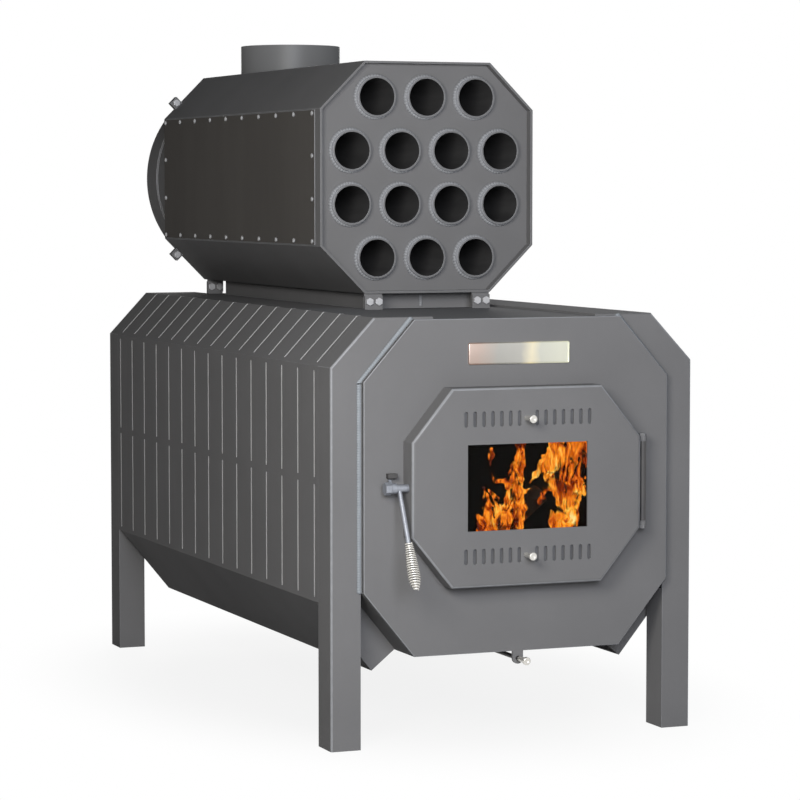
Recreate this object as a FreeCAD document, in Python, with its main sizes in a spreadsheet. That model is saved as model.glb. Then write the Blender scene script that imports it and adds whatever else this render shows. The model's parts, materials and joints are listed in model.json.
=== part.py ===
import FreeCAD, Part
import math
import os

import Sketcher
from FreeCAD import Placement, Rotation, Vector

# Workshop stove: an octagonal firebox in a slotted casing on four legs, under a tube heat exchanger.
# Lengths are in millimetres. X runs across the front, Y from the door to the fan, Z up from the floor.

doc = FreeCAD.newDocument("workshop_stove")
sheet = doc.addObject("Spreadsheet::Sheet", "Sizes")


class Size:
    """A number that keeps the spreadsheet formula it was worked out from."""

    def __init__(self, value, formula=None):
        self.value = float(value)
        self.formula = formula or f"({self.value!r})"

    def __add__(self, other):
        other = as_size(other)
        return Size(self.value + other.value, f"({self.formula} + {other.formula})")

    def __sub__(self, other):
        other = as_size(other)
        return Size(self.value - other.value, f"({self.formula} - {other.formula})")

    def __mul__(self, other):
        other = as_size(other)
        return Size(self.value * other.value, f"({self.formula} * {other.formula})")

    def __truediv__(self, other):
        other = as_size(other)
        return Size(self.value / other.value, f"({self.formula} / {other.formula})")

    def __neg__(self):
        return Size(-self.value, f"(0 - {self.formula})")

    def __rsub__(self, other):
        return as_size(other) - self

    __radd__ = __add__
    __rmul__ = __mul__


def as_size(number):
    return number if isinstance(number, Size) else Size(number)


def root(number):
    return Size(math.sqrt(number.value), f"sqrt({number.formula})")


def sine(degrees):
    return Size(math.sin(math.radians(degrees.value)), f"sin({degrees.formula} * 1 deg)")


def cosine(degrees):
    return Size(math.cos(math.radians(degrees.value)), f"cos({degrees.formula} * 1 deg)")


# Every driving size has its own row in the spreadsheet.

rows = []


def size(name, value):
    rows.append(name)
    sheet.set(f"A{len(rows)}", name)
    sheet.set(f"B{len(rows)}", str(value))
    sheet.setAlias(f"B{len(rows)}", name)
    return Size(value, f"Sizes.{name}")


# Casing and corner posts
casing_half = size("casing_half", 345)
casing_depth = size("casing_depth", 1330)
casing_height = size("casing_height", 748)
shoulder_height = size("shoulder_height", 663)
shoulder_run = size("shoulder_run", 80)
top_flange = size("top_flange", 110)
lower_fold = size("lower_fold", 252)
lower_run = size("lower_run", 104)
skirt_setback = size("skirt_setback", 75)
sheet_thick = size("sheet_thick", 4)
fold_radius = size("fold_radius", 4)
leg_width = size("leg_width", 55)
leg_depth = size("leg_depth", 62)
vent_pitch = size("vent_pitch", 83.5)
vent_width = size("vent_width", 5.5)
vent_margin = size("vent_margin", 8)
vent_bridge = size("vent_bridge", 12)
bridge_height = size("bridge_height", 463)
VENTS = 15

# Firebox
firebox_floor = size("firebox_floor", 159)
firebox_run = size("firebox_run", 94)
firebox_upper_drop = size("firebox_upper_drop", 106)
firebox_lower_rise = size("firebox_lower_rise", 115)
firebox_wall = size("firebox_wall", 5)
firebox_proud = size("firebox_proud", 10)
panel_thick = size("panel_thick", 5)
panel_groove = size("panel_groove", 3)
spigot_length = size("spigot_length", 8)
lug_drop = size("lug_drop", 13)
lug_radius = size("lug_radius", 10)
plate_width = size("plate_width", 192)
plate_height = size("plate_height", 38)
plate_gap = size("plate_gap", 38)
plate_thick = size("plate_thick", 1.5)

# Air shutter under the firebox floor, and the grate above it
air_hole_half = size("air_hole_half", 45)
air_hole_length = size("air_hole_length", 80)
air_hole_start = size("air_hole_start", 240)
shutter_thick = size("shutter_thick", 3)
shutter_lap = size("shutter_lap", 12)
shutter_travel = size("shutter_travel", 85)
rod_radius = size("rod_radius", 4)
grate_half = size("grate_half", 110)
grate_length = size("grate_length", 300)
grate_thick = size("grate_thick", 14)
grate_gap = size("grate_gap", 12)
GRATE_SLOTS = 7

# Door
door_margin = size("door_margin", 73)
door_sill = size("door_sill", 121)
door_rise = size("door_rise", 173)
door_run = size("door_run", 75)
door_drop = size("door_drop", 91)
door_depth = size("door_depth", 41)
door_sheet = size("door_sheet", 4)
door_round = size("door_round", 6)
door_gap = size("door_gap", 1)
opening_inset = size("opening_inset", 30)
window_half = size("window_half", 114)
window_rise = size("window_rise", 75)
glass_lap = size("glass_lap", 14)
glass_thick = size("glass_thick", 4)
seal_width = size("seal_width", 13)
seal_depth = size("seal_depth", 12)
register_offset = size("register_offset", 119)
register_pitch = size("register_pitch", 16.75)
register_width = size("register_width", 7)
register_height = size("register_height", 27)
register_lap = size("register_lap", 6.5)
register_thick = size("register_thick", 3)
register_clearance = size("register_clearance", 0.3)
REGISTER_SLOTS = 7

# Knobs, hinge, latch and handle
knob_length = size("knob_length", 32)
knob_base = size("knob_base", 4.5)
knob_end = size("knob_end", 7)
stud_radius = size("stud_radius", 2.25)
hinge_offset = size("hinge_offset", 12)
hinge_forward = size("hinge_forward", 40)
barrel_radius = size("barrel_radius", 6.5)
barrel_half = size("barrel_half", 71)
pin_radius = size("pin_radius", 4)
running_clearance = size("running_clearance", 0.08)
hinge_lug_thick = size("hinge_lug_thick", 8)
latch_forward = size("latch_forward", 37)
latch_lift = size("latch_lift", 3)
latch_bolt_radius = size("latch_bolt_radius", 5)
hub_radius = size("hub_radius", 7)
hub_length = size("hub_length", 22)
collar_radius = size("collar_radius", 9)
collar_length = size("collar_length", 9.5)
latch_head = size("latch_head", 11)
latch_clearance = size("latch_clearance", 0.5)
lever_tilt = size("lever_tilt", 25.5)
lever_radius = size("lever_radius", 4)
lever_length = size("lever_length", 183)
grip_length = size("grip_length", 84)
grip_wire = size("grip_wire", 3)
grip_coil_gap = size("grip_coil_gap", 1.6)
grip_wide = size("grip_wide", 9.5)
grip_tip = size("grip_tip", 3.6)

# Heat exchanger
exchanger_gap = size("exchanger_gap", 30)
exchanger_half = size("exchanger_half", 214)
exchanger_rise = size("exchanger_rise", 215)
exchanger_slope = size("exchanger_slope", 88)
exchanger_front = size("exchanger_front", 400)
exchanger_length = size("exchanger_length", 950)
exchanger_wall = size("exchanger_wall", 4)
tube_plate_thick = size("tube_plate_thick", 4)
tube_plate_recess = size("tube_plate_recess", 18)
tube_end_recess = size("tube_end_recess", 5)
rear_plate_recess = size("rear_plate_recess", 11)
tube_radius = size("tube_radius", 38)
tube_wall = size("tube_wall", 3.6)
tube_pitch = size("tube_pitch", 99.5)
weld_leg = size("weld_leg", 4)
weld_height = size("weld_height", 3)
assembly_gap = size("assembly_gap", 0.3)
cover_thick = size("cover_thick", 2)
cover_margin = size("cover_margin", 2)
cover_front_gap = size("cover_front_gap", 26)
screw_margin = size("screw_margin", 35)
screw_row = size("screw_row", 118)
screw_middle = size("screw_middle", 40)
screw_across = size("screw_across", 8)
screw_head = size("screw_head", 3)
SCREWS = 10
duct_half = size("duct_half", 110)
duct_front_gap = size("duct_front_gap", 37)
duct_rear_gap = size("duct_rear_gap", 67)
duct_wall = size("duct_wall", 4)
smoke_hole_half = size("smoke_hole_half", 80)
smoke_hole_length = size("smoke_hole_length", 170)
flue_radius = size("flue_radius", 100)
flue_wall = size("flue_wall", 3)
flue_height = size("flue_height", 60)
flue_stop = size("flue_stop", 4)
flue_setback = size("flue_setback", 196)
bracket_inner = size("bracket_inner", 91)
bracket_width = size("bracket_width", 35)
bracket_thick = size("bracket_thick", 4)
bracket_gap = size("bracket_gap", 4)
bolt_radius = size("bolt_radius", 4)
bolt_across = size("bolt_across", 13)
bolt_head = size("bolt_head", 5)
bolt_spread = size("bolt_spread", 9)

# Fan
fan_plate_thick = size("fan_plate_thick", 3)
ear_half = size("ear_half", 10)
ear_reach = size("ear_reach", 17)
ear_shift = size("ear_shift", 16)
ear_lug_length = size("ear_lug_length", 12)
drum_radius = size("drum_radius", 211)
drum_wall = size("drum_wall", 3)
drum_length = size("drum_length", 126)
hoop_width = size("hoop_width", 69)
hoop_thick = size("hoop_thick", 4)
guard_thick = size("guard_thick", 5)
guard_bar = size("guard_bar", 5)
guard_hub = size("guard_hub", 46)
motor_radius = size("motor_radius", 55)
motor_length = size("motor_length", 72)
fan_hub_radius = size("fan_hub_radius", 30)
fan_hub_length = size("fan_hub_length", 22)
fan_radius = size("fan_radius", 196)
fan_chord = size("fan_chord", 76)
fan_pitch = size("fan_pitch", 35)
blade_thick = size("blade_thick", 2.5)
tip_round = size("tip_round", 18)
motor_shaft = size("motor_shaft", 6)
BLADES = 5

doc.recompute()

# Positions that follow from the sizes. The box round the whole stove is centred on X = 0 and Y = 0.
exchanger_rear = exchanger_front + exchanger_length
drum_front = exchanger_rear + fan_plate_thick
drum_rear = drum_front + drum_length
grip_reach = lever_length * sine(lever_tilt) + (grip_tip + grip_wire) * cosine(lever_tilt)
lever_reach = latch_forward + grip_reach
front = (lever_reach - drum_rear - guard_thick) / 2
firebox_half = casing_half - leg_width
firebox_roof = casing_height - sheet_thick
panel_face = front - firebox_proud - panel_thick
door_half = firebox_half - door_margin
door_middle = firebox_floor + door_sill + door_rise
door_back = panel_face - door_gap
door_face = door_back - door_depth
latch_height = door_middle + latch_lift
exchanger_start = front + exchanger_front
exchanger_end = front + exchanger_rear
exchanger_middle = firebox_roof + exchanger_gap + exchanger_rise
exchanger_under = exchanger_middle - exchanger_rise
exchanger_top = exchanger_middle + exchanger_rise
front_stack = exchanger_start
rear_stack = exchanger_end - ear_lug_length - bracket_thick * 2
duct_low = front_stack + bracket_thick * 2 + bolt_head + duct_front_gap
duct_high = rear_stack - bolt_head - duct_rear_gap


def bind(item, path, length):
    """Ties a property to the formula of a size."""
    item.setExpression(path, as_size(length).formula)


START, END, CENTRE = 1, 2, 3


def pin(drawing, line, end, across=None, up=None):
    """Ties a point of a sketch to its formulas, measured from the origin of the sketch."""
    for kind, length in (("DistanceX", across), ("DistanceY", up)):
        if length is not None:
            length = as_size(length)
            tie = drawing.addConstraint(Sketcher.Constraint(kind, -1, 1, line, end, length.value))
            bind(drawing, f"Constraints[{tie}]", length)


def flat(across, up):
    return Vector(as_size(across).value, as_size(up).value, 0)


class Polygon:
    """A closed loop of straight lines."""

    def __init__(self, *points):
        self.points = points

    def draw(self, drawing):
        start = drawing.GeometryCount
        count = len(self.points)
        for i, point in enumerate(self.points):
            after = self.points[(i + 1) % count]
            drawing.addGeometry(Part.LineSegment(flat(*point), flat(*after)), False)
        for i, point in enumerate(self.points):
            after = start + (i + 1) % count
            drawing.addConstraint(Sketcher.Constraint("Coincident", start + i, END, after, START))
            pin(drawing, start + i, START, *point)


class Circle:
    """A circle by its centre and radius."""

    def __init__(self, across, up, radius):
        self.across, self.up, self.radius = as_size(across), as_size(up), as_size(radius)

    def draw(self, drawing):
        curve = Part.Circle(flat(self.across, self.up), Vector(0, 0, 1), self.radius.value)
        line = drawing.addGeometry(curve, False)
        pin(drawing, line, CENTRE, self.across, self.up)
        tie = drawing.addConstraint(Sketcher.Constraint("Radius", line, self.radius.value))
        bind(drawing, f"Constraints[{tie}]", self.radius)


class Stadium:
    """An upright slot with round ends, by its middle line and the heights of the two arc centres."""

    def __init__(self, across, low, high, radius):
        self.across, self.low, self.high = as_size(across), as_size(low), as_size(high)
        self.radius = as_size(radius)

    def draw(self, drawing):
        start = drawing.GeometryCount
        left, right = self.across - self.radius, self.across + self.radius
        up, r = Vector(0, 0, 1), self.radius.value
        drawing.addGeometry(Part.LineSegment(flat(left, self.high), flat(left, self.low)), False)
        bottom = Part.Circle(flat(self.across, self.low), up, r)
        drawing.addGeometry(Part.ArcOfCircle(bottom, math.pi, 2 * math.pi), False)
        drawing.addGeometry(Part.LineSegment(flat(right, self.low), flat(right, self.high)), False)
        top = Part.Circle(flat(self.across, self.high), up, r)
        drawing.addGeometry(Part.ArcOfCircle(top, 0, math.pi), False)
        left_line, bottom_arc, right_line, top_arc = range(start, start + 4)
        ring = [left_line, bottom_arc, right_line, top_arc, left_line]
        for line, after in zip(ring, ring[1:]):
            drawing.addConstraint(Sketcher.Constraint("Coincident", line, END, after, START))
        pin(drawing, left_line, START, left, self.high)
        pin(drawing, left_line, END, left, self.low)
        pin(drawing, right_line, START, right, self.low)
        pin(drawing, right_line, END, right, self.high)
        pin(drawing, bottom_arc, CENTRE, None, self.low)
        pin(drawing, top_arc, CENTRE, None, self.high)


def rectangle(left, low, right, high):
    return Polygon((left, low), (right, low), (right, high), (left, high))


def hexagon(across, up, flats):
    """A hexagon with two upright flats, by its centre and the distance across the flats."""
    half, corner = flats / 2, flats / math.sqrt(3)
    return Polygon(
        (across, up - corner), (across + half, up - corner / 2), (across + half, up + corner / 2),
        (across, up + corner), (across - half, up + corner / 2), (across - half, up - corner / 2),
    )


def octagon(half, low, high, run, rise, drop):
    """The eight corners of a box outline with sloped corners, anticlockwise from the lower left."""
    return [
        (-half + run, low), (half - run, low), (half, low + rise), (half, high - drop),
        (half - run, high), (-half + run, high), (-half, high - drop), (-half, low + rise),
    ]


def unit(start, end):
    """The unit normal on the left of the line from start to end."""
    across, up = as_size(end[0]) - start[0], as_size(end[1]) - start[1]
    length = root(across * across + up * up)
    return -up / length, across / length


def mitre(before, corner, after, depth):
    """The corner of a line drawn parallel to two others, a depth to their left."""
    first, second = unit(before, corner), unit(corner, after)
    scale = depth / (1 + first[0] * second[0] + first[1] * second[1])
    return corner[0] + (first[0] + second[0]) * scale, corner[1] + (first[1] + second[1]) * scale


def inset(points, depth):
    """A closed outline moved inwards by a depth, for points listed anticlockwise."""
    count = len(points)
    return [mitre(points[i - 1], points[i], points[(i + 1) % count], depth) for i in range(count)]


def folded(points, depth):
    """The cross section of a folded sheet: a line of points and its copy a depth to its right."""
    begin, finish = unit(points[0], points[1]), unit(points[-2], points[-1])
    inner = [(points[0][0] - begin[0] * depth, points[0][1] - begin[1] * depth)]
    for i in range(1, len(points) - 1):
        inner.append(mitre(points[i - 1], points[i], points[i + 1], -depth))
    inner.append((points[-1][0] - finish[0] * depth, points[-1][1] - finish[1] * depth))
    return Polygon(*points, *reversed(inner))


def body(name):
    item = doc.addObject("PartDesign::Body", name)
    item.AllowCompound = True
    return item


def draw(item, plane, shift, loops, tilt=None):
    """A sketch on a plane of the body, its origin moved by a shift and tilted about its first axis."""
    drawing = item.newObject("Sketcher::SketchObject", item.Name + "_sketch")
    support = next(f for f in item.Origin.OriginFeatures if f.Role == plane + "_Plane")
    drawing.AttachmentSupport = (support, [""])
    drawing.MapMode = "FlatFace"
    for axis, length in zip("xyz", shift):
        bind(drawing, f"AttachmentOffset.Base.{axis}", length)
    if tilt is not None:
        drawing.AttachmentOffset = Placement(Vector(), Rotation(Vector(1, 0, 0), tilt.value))
        bind(drawing, "AttachmentOffset.Rotation.Angle", tilt * Size(1, "1 deg"))
    for loop in loops:
        loop.draw(drawing)
    return drawing


def extrude(kind, item, plane, start, length, loops, reverse):
    """The XZ plane looks towards -Y, so its sketches are moved and extruded the other way."""
    feature = item.newObject("PartDesign::" + kind, item.Name + "_" + kind.lower())
    feature.Profile = draw(item, plane, (0, 0, -start if plane == "XZ" else start), loops)
    feature.Reversed = reverse
    bind(feature, "Length", length)
    item.Tip = feature
    return feature


def pad(item, plane, start, length, *loops):
    return extrude("Pad", item, plane, as_size(start), length, loops, plane == "XZ")


def pocket(item, plane, start, length, *loops):
    return extrude("Pocket", item, plane, as_size(start), length, loops, plane != "XZ")


def repeat(item, features, axis, spacing, count):
    """Repeats features of a body along one of its axes."""
    pattern = item.newObject("PartDesign::LinearPattern", item.Name + "_pattern")
    pattern.Originals = features
    pattern.Direction = (next(f for f in item.Origin.OriginFeatures if f.Role == axis + "_Axis"), [""])
    pattern.Occurrences = count
    bind(pattern, "Length", spacing * (count - 1))
    item.Tip = pattern


def turned(name, axis, centre, points):
    """A body turned about a line parallel to an axis, from points given as (along, radius)."""
    item = body(name)
    first, second = centre
    plane, shift, line = {
        "X": ("XZ", (0, second, -as_size(first)), "H_Axis"),
        "Y": ("YZ", (0, second, first), "H_Axis"),
        "Z": ("XZ", (first, 0, -as_size(second)), "V_Axis"),
    }[axis]
    profile = [(radius, along) for along, radius in points] if axis == "Z" else points
    feature = item.newObject("PartDesign::Revolution", name + "_turn")
    drawing = draw(item, plane, shift, [Polygon(*profile)])
    feature.Profile = drawing
    feature.ReferenceAxis = (drawing, [line])
    feature.Angle = 360
    item.Tip = feature
    return item


def round_edges(item, radius, chosen):
    """Rounds the edges of a body that pass a test."""
    doc.recompute()
    tip = item.Tip
    names = [f"Edge{i}" for i, edge in enumerate(tip.Shape.Edges, 1) if chosen(edge)]
    feature = item.newObject("PartDesign::Fillet", item.Name + "_fillet")
    feature.Base = (tip, names)
    bind(feature, "Radius", radius)
    item.Tip = feature


def mirrored(name, source, normal, position=0):
    item = doc.addObject("Part::Mirroring", name)
    item.Source = source
    item.Normal = normal
    bind(item, "Base.y", position)
    return item


def bar(name, axis, position, radius, length):
    """A plain cylinder that starts at a position and runs along an axis."""
    item = doc.addObject("Part::Cylinder", name)
    turn = {"X": Rotation(Vector(0, 1, 0), 90), "Y": Rotation(Vector(1, 0, 0), -90), "Z": Rotation()}
    item.Placement = Placement(Vector(), turn[axis])
    for letter, length_to in zip("xyz", position):
        bind(item, f"Placement.Base.{letter}", length_to)
    bind(item, "Radius", radius)
    bind(item, "Height", length)
    return item


def fuse(name, *items):
    item = doc.addObject("Part::MultiFuse", name)
    item.Shapes = list(items)
    return item


def cut(name, base, tool):
    item = doc.addObject("Part::Cut", name)
    item.Base = base
    item.Tool = tool
    return item


nodes = {}


def node(name, item):
    nodes[name] = item
    return item


# Corner posts: the folded skin, the face strip beside the firebox, and the box leg with its closed foot.
firebox = octagon(
    firebox_half, firebox_floor, firebox_roof, firebox_run, firebox_lower_rise, firebox_upper_drop
)
skin = [
    (-casing_half, shoulder_height), (-casing_half + shoulder_run, casing_height),
    (-casing_half + shoulder_run + top_flange, casing_height),
]
leg_inside = -casing_half + leg_width
post = body("post")
pad(post, "XZ", front, leg_depth, folded([(-casing_half, 0), *skin], sheet_thick))
strip_top = (firebox[5][0], casing_height)
pad(post, "XZ", front, sheet_thick, Polygon(
    (-casing_half, 0), skin[0], skin[1], strip_top, firebox[5], firebox[6], (leg_inside, 0),
))
pad(post, "XY", 0, lower_fold, Polygon(
    (leg_inside, front), (leg_inside, front + leg_depth), (-casing_half, front + leg_depth),
    (-casing_half, front + leg_depth - sheet_thick),
    (leg_inside - sheet_thick, front + leg_depth - sheet_thick), (leg_inside - sheet_thick, front),
))
pad(post, "XY", 0, sheet_thick, rectangle(-casing_half, front, leg_inside, front + leg_depth))
outline = Part.makePolygon([
    Vector(as_size(x).value, front.value, as_size(z).value)
    for x, z in ((-casing_half, 0), skin[0], skin[1], strip_top)
])


def on_outline(edge):
    return outline.distToShape(Part.Vertex(edge.CenterOfMass))[0] < 0.01


round_edges(post, fold_radius, on_outline)
middle = front + casing_depth / 2
node("front_left_post", post)
node("front_right_post", mirrored("front_right_post", post, Vector(1, 0, 0)))
node("rear_left_post", mirrored("rear_left_post", post, Vector(0, 1, 0), middle))
node("rear_right_post", mirrored("rear_right_post", nodes["rear_left_post"], Vector(1, 0, 0)))

# Casing sheets: side, upper slope and top flange in one fold, and the plain lower slope with its flanges.
lower_drop = lower_run * firebox_lower_rise / firebox_run
fold_point = (-casing_half, lower_fold)
skirt_edge = (-casing_half + lower_run, lower_fold - lower_drop)
slope_length = root(firebox_run * firebox_run + firebox_lower_rise * firebox_lower_rise)
skirt_gap = (
    (firebox[7][0] - skirt_edge[0]) * firebox_lower_rise + (firebox[7][1] - skirt_edge[1]) * firebox_run
) / slope_length
skirt_foot = (
    skirt_edge[0] + skirt_gap * firebox_lower_rise / slope_length,
    skirt_edge[1] + skirt_gap * firebox_run / slope_length,
)
flange = Polygon(fold_point, skirt_edge, skirt_foot, firebox[7])
casing = body("casing")
casing_length = casing_depth - leg_depth * 2
pad(casing, "XZ", front + leg_depth, casing_length, folded([fold_point, *skin], sheet_thick))
skirt_start, skirt_length = front + skirt_setback, casing_depth - skirt_setback * 2
pad(casing, "XZ", skirt_start, skirt_length, folded([skirt_edge, fold_point], sheet_thick))
pad(casing, "XZ", skirt_start, sheet_thick, flange)
pad(casing, "XZ", skirt_start + skirt_length - sheet_thick, sheet_thick, flange)
first_vent = middle - vent_pitch * (VENTS - 1) / 2 - vent_width / 2
outside, inside = -casing_half - sheet_thick, -casing_half + sheet_thick * 2
slope_rise = casing_height - shoulder_height
slope = root(shoulder_run * shoulder_run + slope_rise * slope_rise)
vent_foot = (
    skin[0][0] + shoulder_run * vent_margin / slope, skin[0][1] + slope_rise * vent_margin / slope,
)
reach = sheet_thick * 2
vents = pocket(
    casing, "XZ", first_vent, vent_width,
    rectangle(outside, lower_fold + vent_margin, inside, bridge_height - vent_bridge / 2),
    rectangle(outside, bridge_height + vent_bridge / 2, inside, shoulder_height - vent_margin),
    Polygon(
        (vent_foot[0] - reach, vent_foot[1] + reach), (vent_foot[0] + reach, vent_foot[1] - reach),
        (skin[1][0] + vent_margin, casing_height - reach),
        (skin[1][0] + vent_margin, casing_height + reach),
        (skin[1][0] - reach, casing_height + reach),
    ),
)
repeat(casing, [vents], "Y", vent_pitch, VENTS)
node("left_casing", casing)
node("right_casing", mirrored("right_casing", casing, Vector(1, 0, 0)))

# Firebox: the octagonal tube with its smoke outlet in the roof and its air hole in the floor.
shell = body("shell")
shell_start = front - firebox_proud + panel_groove
shell_length = casing_depth + firebox_proud * 2 - panel_groove
pad(shell, "XZ", shell_start, shell_length, Polygon(*firebox), Polygon(*inset(firebox, firebox_wall)))
smoke_start = duct_low + duct_wall * 2
smoke_hole = rectangle(-smoke_hole_half, smoke_start, smoke_hole_half, smoke_start + smoke_hole_length)
pocket(shell, "XY", firebox_roof - firebox_wall * 2, firebox_wall * 3, smoke_hole)
air_start = front + air_hole_start
pocket(shell, "XY", firebox_floor - firebox_wall, firebox_wall * 3, rectangle(
    -air_hole_half, air_start, air_hole_half, air_start + air_hole_length,
))
node("firebox_shell", shell)

# Front panel with the door opening, the lug for the pull rod and a spigot that plugs into the firebox tube.
door_low, door_high = door_middle - door_rise, door_middle + door_rise
door = octagon(door_half, door_low, door_high, door_run, door_drop, door_drop)
rod_height = firebox_floor - lug_drop
panel = body("panel")
pad(panel, "XZ", panel_face, panel_thick, Polygon(*firebox))
round_edges(panel, panel_thick / 3, lambda edge: edge.BoundBox.YMax < panel_face.value + 0.01)
pocket(panel, "XZ", panel_face - 1, panel_thick + 2, Polygon(*inset(door, opening_inset)))
pad(
    panel, "XZ", panel_face, panel_thick,
    Stadium(0, rod_height, firebox_floor + lug_radius * 2, lug_radius),
)
pocket(panel, "XZ", panel_face - 1, panel_thick + 2, Circle(0, rod_height, rod_radius + assembly_gap))
spigot_inside = inset(firebox, firebox_wall * 2)
pad(
    panel, "XZ", panel_face + panel_thick, spigot_length,
    Polygon(*inset(firebox, firebox_wall)), Polygon(*spigot_inside),
)
node("front_panel", panel)

# Rear panel, and the bare nameplate above the door.
rear_panel = body("rear")
pad(rear_panel, "XZ", front + casing_depth + firebox_proud, panel_thick, Polygon(*firebox))
node("rear_panel", rear_panel)
nameplate = body("plate")
plate_low = door_high + plate_gap
pad(nameplate, "XZ", panel_face - plate_thick, plate_thick, rectangle(
    -plate_width / 2, plate_low, plate_width / 2, plate_low + plate_height,
))
node("nameplate", nameplate)

# Fire grate on the floor, over the air hole.
grate = body("grate")
grate_middle = air_start + air_hole_length / 2
grate_start, grate_end = grate_middle - grate_length / 2, grate_middle + grate_length / 2
grate_step = grate_half * 2 / (GRATE_SLOTS + 1)
pad(grate, "XY", firebox_floor + firebox_wall, grate_thick, rectangle(
    -grate_half, grate_start, grate_half, grate_end,
))
gap_left = grate_step - grate_half - grate_gap / 2
grate_slot = pocket(grate, "XY", firebox_floor, grate_thick * 2, rectangle(
    gap_left, grate_start + grate_gap * 2, gap_left + grate_gap, grate_end - grate_gap * 2,
))
repeat(grate, [grate_slot], "X", grate_step, GRATE_SLOTS)
node("fire_grate", grate)

# Air shutter: a plate under the floor that the rod pulls forward, carried by two angle guides.
shutter_half = air_hole_half + shutter_lap
shutter_top = firebox_floor - assembly_gap
shutter_low = shutter_top - shutter_thick
shutter_start = air_start - shutter_lap
shutter_length = air_hole_length + shutter_lap * 2
upright = pin_radius
shutter = body("shutter")
pad(shutter, "XY", shutter_low, shutter_thick, rectangle(
    -shutter_half, shutter_start, shutter_half, shutter_start + shutter_length,
))
pad(shutter, "XZ", shutter_start, upright, rectangle(
    -rod_radius * 2, rod_height - rod_radius, rod_radius * 2, shutter_top,
))
rod_start = panel_face - rod_radius * 2
pad(shutter, "XZ", rod_start, shutter_start - rod_start, Circle(0, rod_height, rod_radius))
node("air_shutter", shutter)
guide_wall = shutter_half + assembly_gap
guide_foot = shutter_low - assembly_gap - sheet_thick
guides = body("guides")
for side in (-1, 1):
    pad(guides, "XZ", shutter_start - shutter_travel, shutter_length + shutter_travel, Polygon(
        (guide_wall * side, firebox_floor), ((guide_wall + sheet_thick) * side, firebox_floor),
        ((guide_wall + sheet_thick) * side, guide_foot),
        ((guide_wall - shutter_lap / 2) * side, guide_foot),
        ((guide_wall - shutter_lap / 2) * side, shutter_low - assembly_gap),
        (guide_wall * side, shutter_low - assembly_gap),
    ))
node("shutter_guides", guides)


def knob(name, base, across, up, stud=None):
    """A flared knob turned about Y: its stud, if it has one, the slim neck and the dished end."""
    end = base - knob_length
    inner = [(base, 0)]
    if stud is not None:
        inner = [(base + stud, 0), (base + stud, stud_radius), (base, stud_radius)]
    return turned(name, "Y", (across, up), inner + [
        (base, knob_base), (base - knob_length / 2, knob_base * 1.1), (end + knob_length / 5, knob_end),
        (end + 1, knob_end), (end, knob_end - 1), (end, knob_end / 2), (end + 2, 0),
    ])


node("pull_knob", knob("pull_knob", rod_start, 0, rod_height))

# Door: a folded tray with its window, air slots, stud slots for the registers, and channel for the seal.
tray = body("tray")
pad(tray, "XZ", door_face, door_depth, Polygon(*door))
round_edges(tray, door_round, lambda edge: edge.BoundBox.YMax < door_face.value + 0.01)
skin_back = door_face + door_sheet
pocket(tray, "XZ", skin_back, door_depth, Polygon(*inset(door, door_sheet)))
seal_front = panel_face - assembly_gap - seal_depth
channel_inside = inset(door, door_sheet * 2 + seal_width)
pad(
    tray, "XZ", seal_front - door_sheet, door_sheet,
    Polygon(*inset(door, door_sheet / 2)), Polygon(*channel_inside),
)
seal_inside = inset(door, door_sheet + seal_width)
pad(tray, "XZ", seal_front, seal_depth / 2, Polygon(*seal_inside), Polygon(*channel_inside))
upper_row, lower_row = door_middle + register_offset, door_middle - register_offset
stud_half = register_pitch / 4 + stud_radius + latch_clearance
stud_rise = stud_radius + latch_clearance
stud_slots = [
    rectangle(-stud_half, row - stud_rise, stud_half, row + stud_rise) for row in (upper_row, lower_row)
]
window = rectangle(-window_half, door_middle - window_rise, window_half, door_middle + window_rise)
pocket(tray, "XZ", door_face - 1, door_sheet + 2, window, *stud_slots)
slot_radius = register_width / 2
slot_reach = register_height / 2 - slot_radius


def air_slots(item, start, depth, positions, heights):
    """Two rows of seven slots, left and right of the middle."""
    cuts = pocket(item, "XZ", start, depth, *[
        Stadium(position, height - slot_reach, height + slot_reach, slot_radius)
        for position in positions for height in heights
    ])
    repeat(item, [cuts], "X", register_pitch, REGISTER_SLOTS)


for first in (-REGISTER_SLOTS, 1):
    air_slots(tray, door_face - 1, door_sheet + 2, [register_pitch * first], [upper_row, lower_row])
node("door_shell", tray)

# Rope seal in its channel, the glass, and the two strips that clamp it.
seal = body("seal")
pad(seal, "XZ", seal_front, seal_depth, Polygon(*inset(door, door_sheet)), Polygon(*seal_inside))
node("door_seal", seal)
glass_half, glass_rise = window_half + glass_lap, window_rise + glass_lap
glass = body("glass")
pad(glass, "XZ", skin_back, glass_thick, rectangle(
    -glass_half, door_middle - glass_rise, glass_half, door_middle + glass_rise,
))
node("door_glass", glass)
clamp_back = skin_back + glass_thick + door_sheet
clamps = body("clamps")
for side in (-1, 1):
    pad(clamps, "XY", door_middle - window_rise, window_rise * 2, Polygon(
        ((glass_half + assembly_gap) * side, skin_back), ((glass_half + glass_lap) * side, skin_back),
        ((glass_half + glass_lap) * side, clamp_back), ((glass_half - glass_lap / 2) * side, clamp_back),
        ((glass_half - glass_lap / 2) * side, skin_back + glass_thick),
        ((glass_half + assembly_gap) * side, skin_back + glass_thick),
    ))
node("glass_clamps", clamps)

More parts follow.
